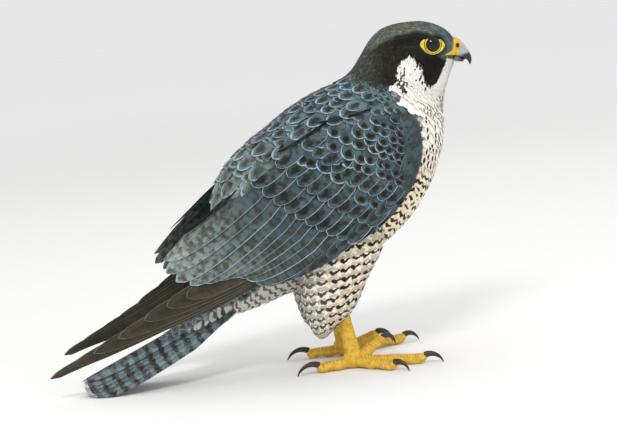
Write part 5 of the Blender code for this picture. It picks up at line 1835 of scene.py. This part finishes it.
FLOOR_REACH = 60.0
PAPER_TONES = ((0.84, 0.84, 0.83), (0.87, 0.87, 0.86))
WHITE = (1.0, 1.0, 1.0)
WORLD_STRENGTH = 0.80
# Lamps: place from the bird's middle, width and power
LAMPS = {
    "key": ((-0.5, -1.5, 1.6), 0.5, 19.0),
    "fill": ((1.3, -1.1, 0.7), 1.2, 4.0),
    "top": ((0.2, 0.6, 1.9), 1.2, 8.0),
}
LAMP_TARGET = np.array([-30.0, 0.0, 130.0])
# The picture: mm in a pixel, its width and height, and the pixel where the drawn pose has its zero
PICTURE_SCALE = 0.835
PICTURE_WIDTH, PICTURE_HEIGHT = 617.0, 434.0
PICTURE_ZERO = (360.0, 363.5)
CAMERA_DISTANCE = 1300.0
CAMERA_AZIMUTH = math.radians(-7.0)
CAMERA_ELEVATION = math.radians(7.0)


class FALCON_OT_stage(bpy.types.Operator):
    """A pale floor, soft light from above, and the camera at the picture's angle"""

    bl_idname = "falcon.stage"
    bl_label = "Floor, light and camera"

    def execute(self, context):
        scene = context.scene
        mesh = bpy.data.meshes.new("pale_floor")
        corners = [(x * FLOOR_REACH, y * FLOOR_REACH, 0) for x, y in ((-1, -1), (1, -1), (1, 1), (-1, 1))]
        mesh.from_pydata(corners, [], [(0, 1, 2, 3)])
        floor = bpy.data.objects.new("pale_floor", mesh)
        scene.collection.objects.link(floor)
        graph = Graph("pale_paper")
        grain = graph.noise(graph.place(), 60.0, 4.0)
        tone = graph.mix(grain, *PAPER_TONES)
        sides = graph.parts(graph.place())
        reach = graph.add(graph.math("ABSOLUTE", sides[0]), graph.math("ABSOLUTE", sides[1]))
        tone = graph.mix(graph.step(reach, 0.6, 6.0), tone, WHITE)
        mesh.materials.append(graph.finish(tone, 0.9, grain, 0.05, 0.0005))
        world = bpy.data.worlds.new("studio")
        scene.world = world
        world.use_nodes = True
        sky = world.node_tree.nodes["Background"].inputs
        sky["Color"].default_value = (*WHITE, 1.0)
        sky["Strength"].default_value = WORLD_STRENGTH
        target = Vector(stand(LAMP_TARGET))
        scene.view_settings.view_transform = "Standard"
        for name, (place, size, power) in LAMPS.items():
            data = bpy.data.lights.new(name, "AREA")
            data.size, data.energy = size, power
            lamp = bpy.data.objects.new(name, data)
            lamp.visible_glossy = name == "key"
            lamp.location = target + Vector(place)
            lamp.rotation_euler = (target - lamp.location).to_track_quat("-Z", "Y").to_euler()
            scene.collection.objects.link(lamp)
        across = (PICTURE_WIDTH / 2 - PICTURE_ZERO[0]) * PICTURE_SCALE
        above = (PICTURE_ZERO[1] - PICTURE_HEIGHT / 2) * PICTURE_SCALE
        centre = Vector(stand(np.array([across, 0.0, above])))
        level, height = math.cos(CAMERA_ELEVATION), math.sin(CAMERA_ELEVATION)
        away = Vector((math.sin(CAMERA_AZIMUTH) * level, -math.cos(CAMERA_AZIMUTH) * level, height))
        right = (-away).cross(Vector((0, 0, 1))).normalized()
        up = right.cross(-away).normalized()
        cos, sin = math.cos(PITCH), math.sin(PITCH)
        turned = Matrix((right * cos - up * sin, up * cos + right * sin, away)).transposed().to_4x4()
        turned.translation = centre + away * CAMERA_DISTANCE * MM
        data = bpy.data.cameras.new("camera")
        data.sensor_fit = "HORIZONTAL"
        data.angle = 2 * math.atan(PICTURE_WIDTH * PICTURE_SCALE / 2 / CAMERA_DISTANCE)
        camera = bpy.data.objects.new("camera", data)
        camera.matrix_world = turned
        scene.collection.objects.link(camera)
        scene.camera = camera
        return {"FINISHED"}


OPERATORS = (
    FALCON_OT_skin,
    FALCON_OT_head,
    FALCON_OT_body,
    FALCON_OT_thighs,
    FALCON_OT_wings,
    FALCON_OT_tail,
    FALCON_OT_eyes,
    FALCON_OT_bill,
    FALCON_OT_feet,
    FALCON_OT_stage,
)


class FALCON_PT_panel(bpy.types.Panel):
    """Lists the builders and their sizes and colours"""

    bl_idname = "FALCON_PT_panel"
    bl_label = "Peregrine falcon"
    bl_space_type = "VIEW_3D"
    bl_region_type = "UI"
    bl_category = "Falcon"

    def draw(self, context):
        for group in (context.scene.falcon_sizes, context.scene.falcon_colours):
            for name in group.bl_rna.properties.keys():
                if name not in ("rna_type", "name"):
                    self.layout.prop(group, name)
        for operator in OPERATORS:
            self.layout.operator(operator.bl_idname)


CLASSES = (FalconSizes, FalconColours, *OPERATORS, FALCON_PT_panel)


def register():
    for item in CLASSES:
        bpy.utils.register_class(item)
    bpy.types.Scene.falcon_sizes = bpy.props.PointerProperty(type=FalconSizes)
    bpy.types.Scene.falcon_colours = bpy.props.PointerProperty(type=FalconColours)


def unregister():
    del bpy.types.Scene.falcon_sizes
    del bpy.types.Scene.falcon_colours
    for item in reversed(CLASSES):
        bpy.utils.unregister_class(item)


def main():
    register()
    bpy.ops.falcon.skin()
    bpy.ops.falcon.head_feathers()
    bpy.ops.falcon.body_feathers()
    bpy.ops.falcon.thigh_feathers()
    bpy.ops.falcon.wing_feathers()
    bpy.ops.falcon.tail_feathers()
    bpy.ops.falcon.eyes()
    bpy.ops.falcon.bill()
    bpy.ops.falcon.feet()
    bpy.ops.falcon.stage()


if __name__ == "__main__":
    main()
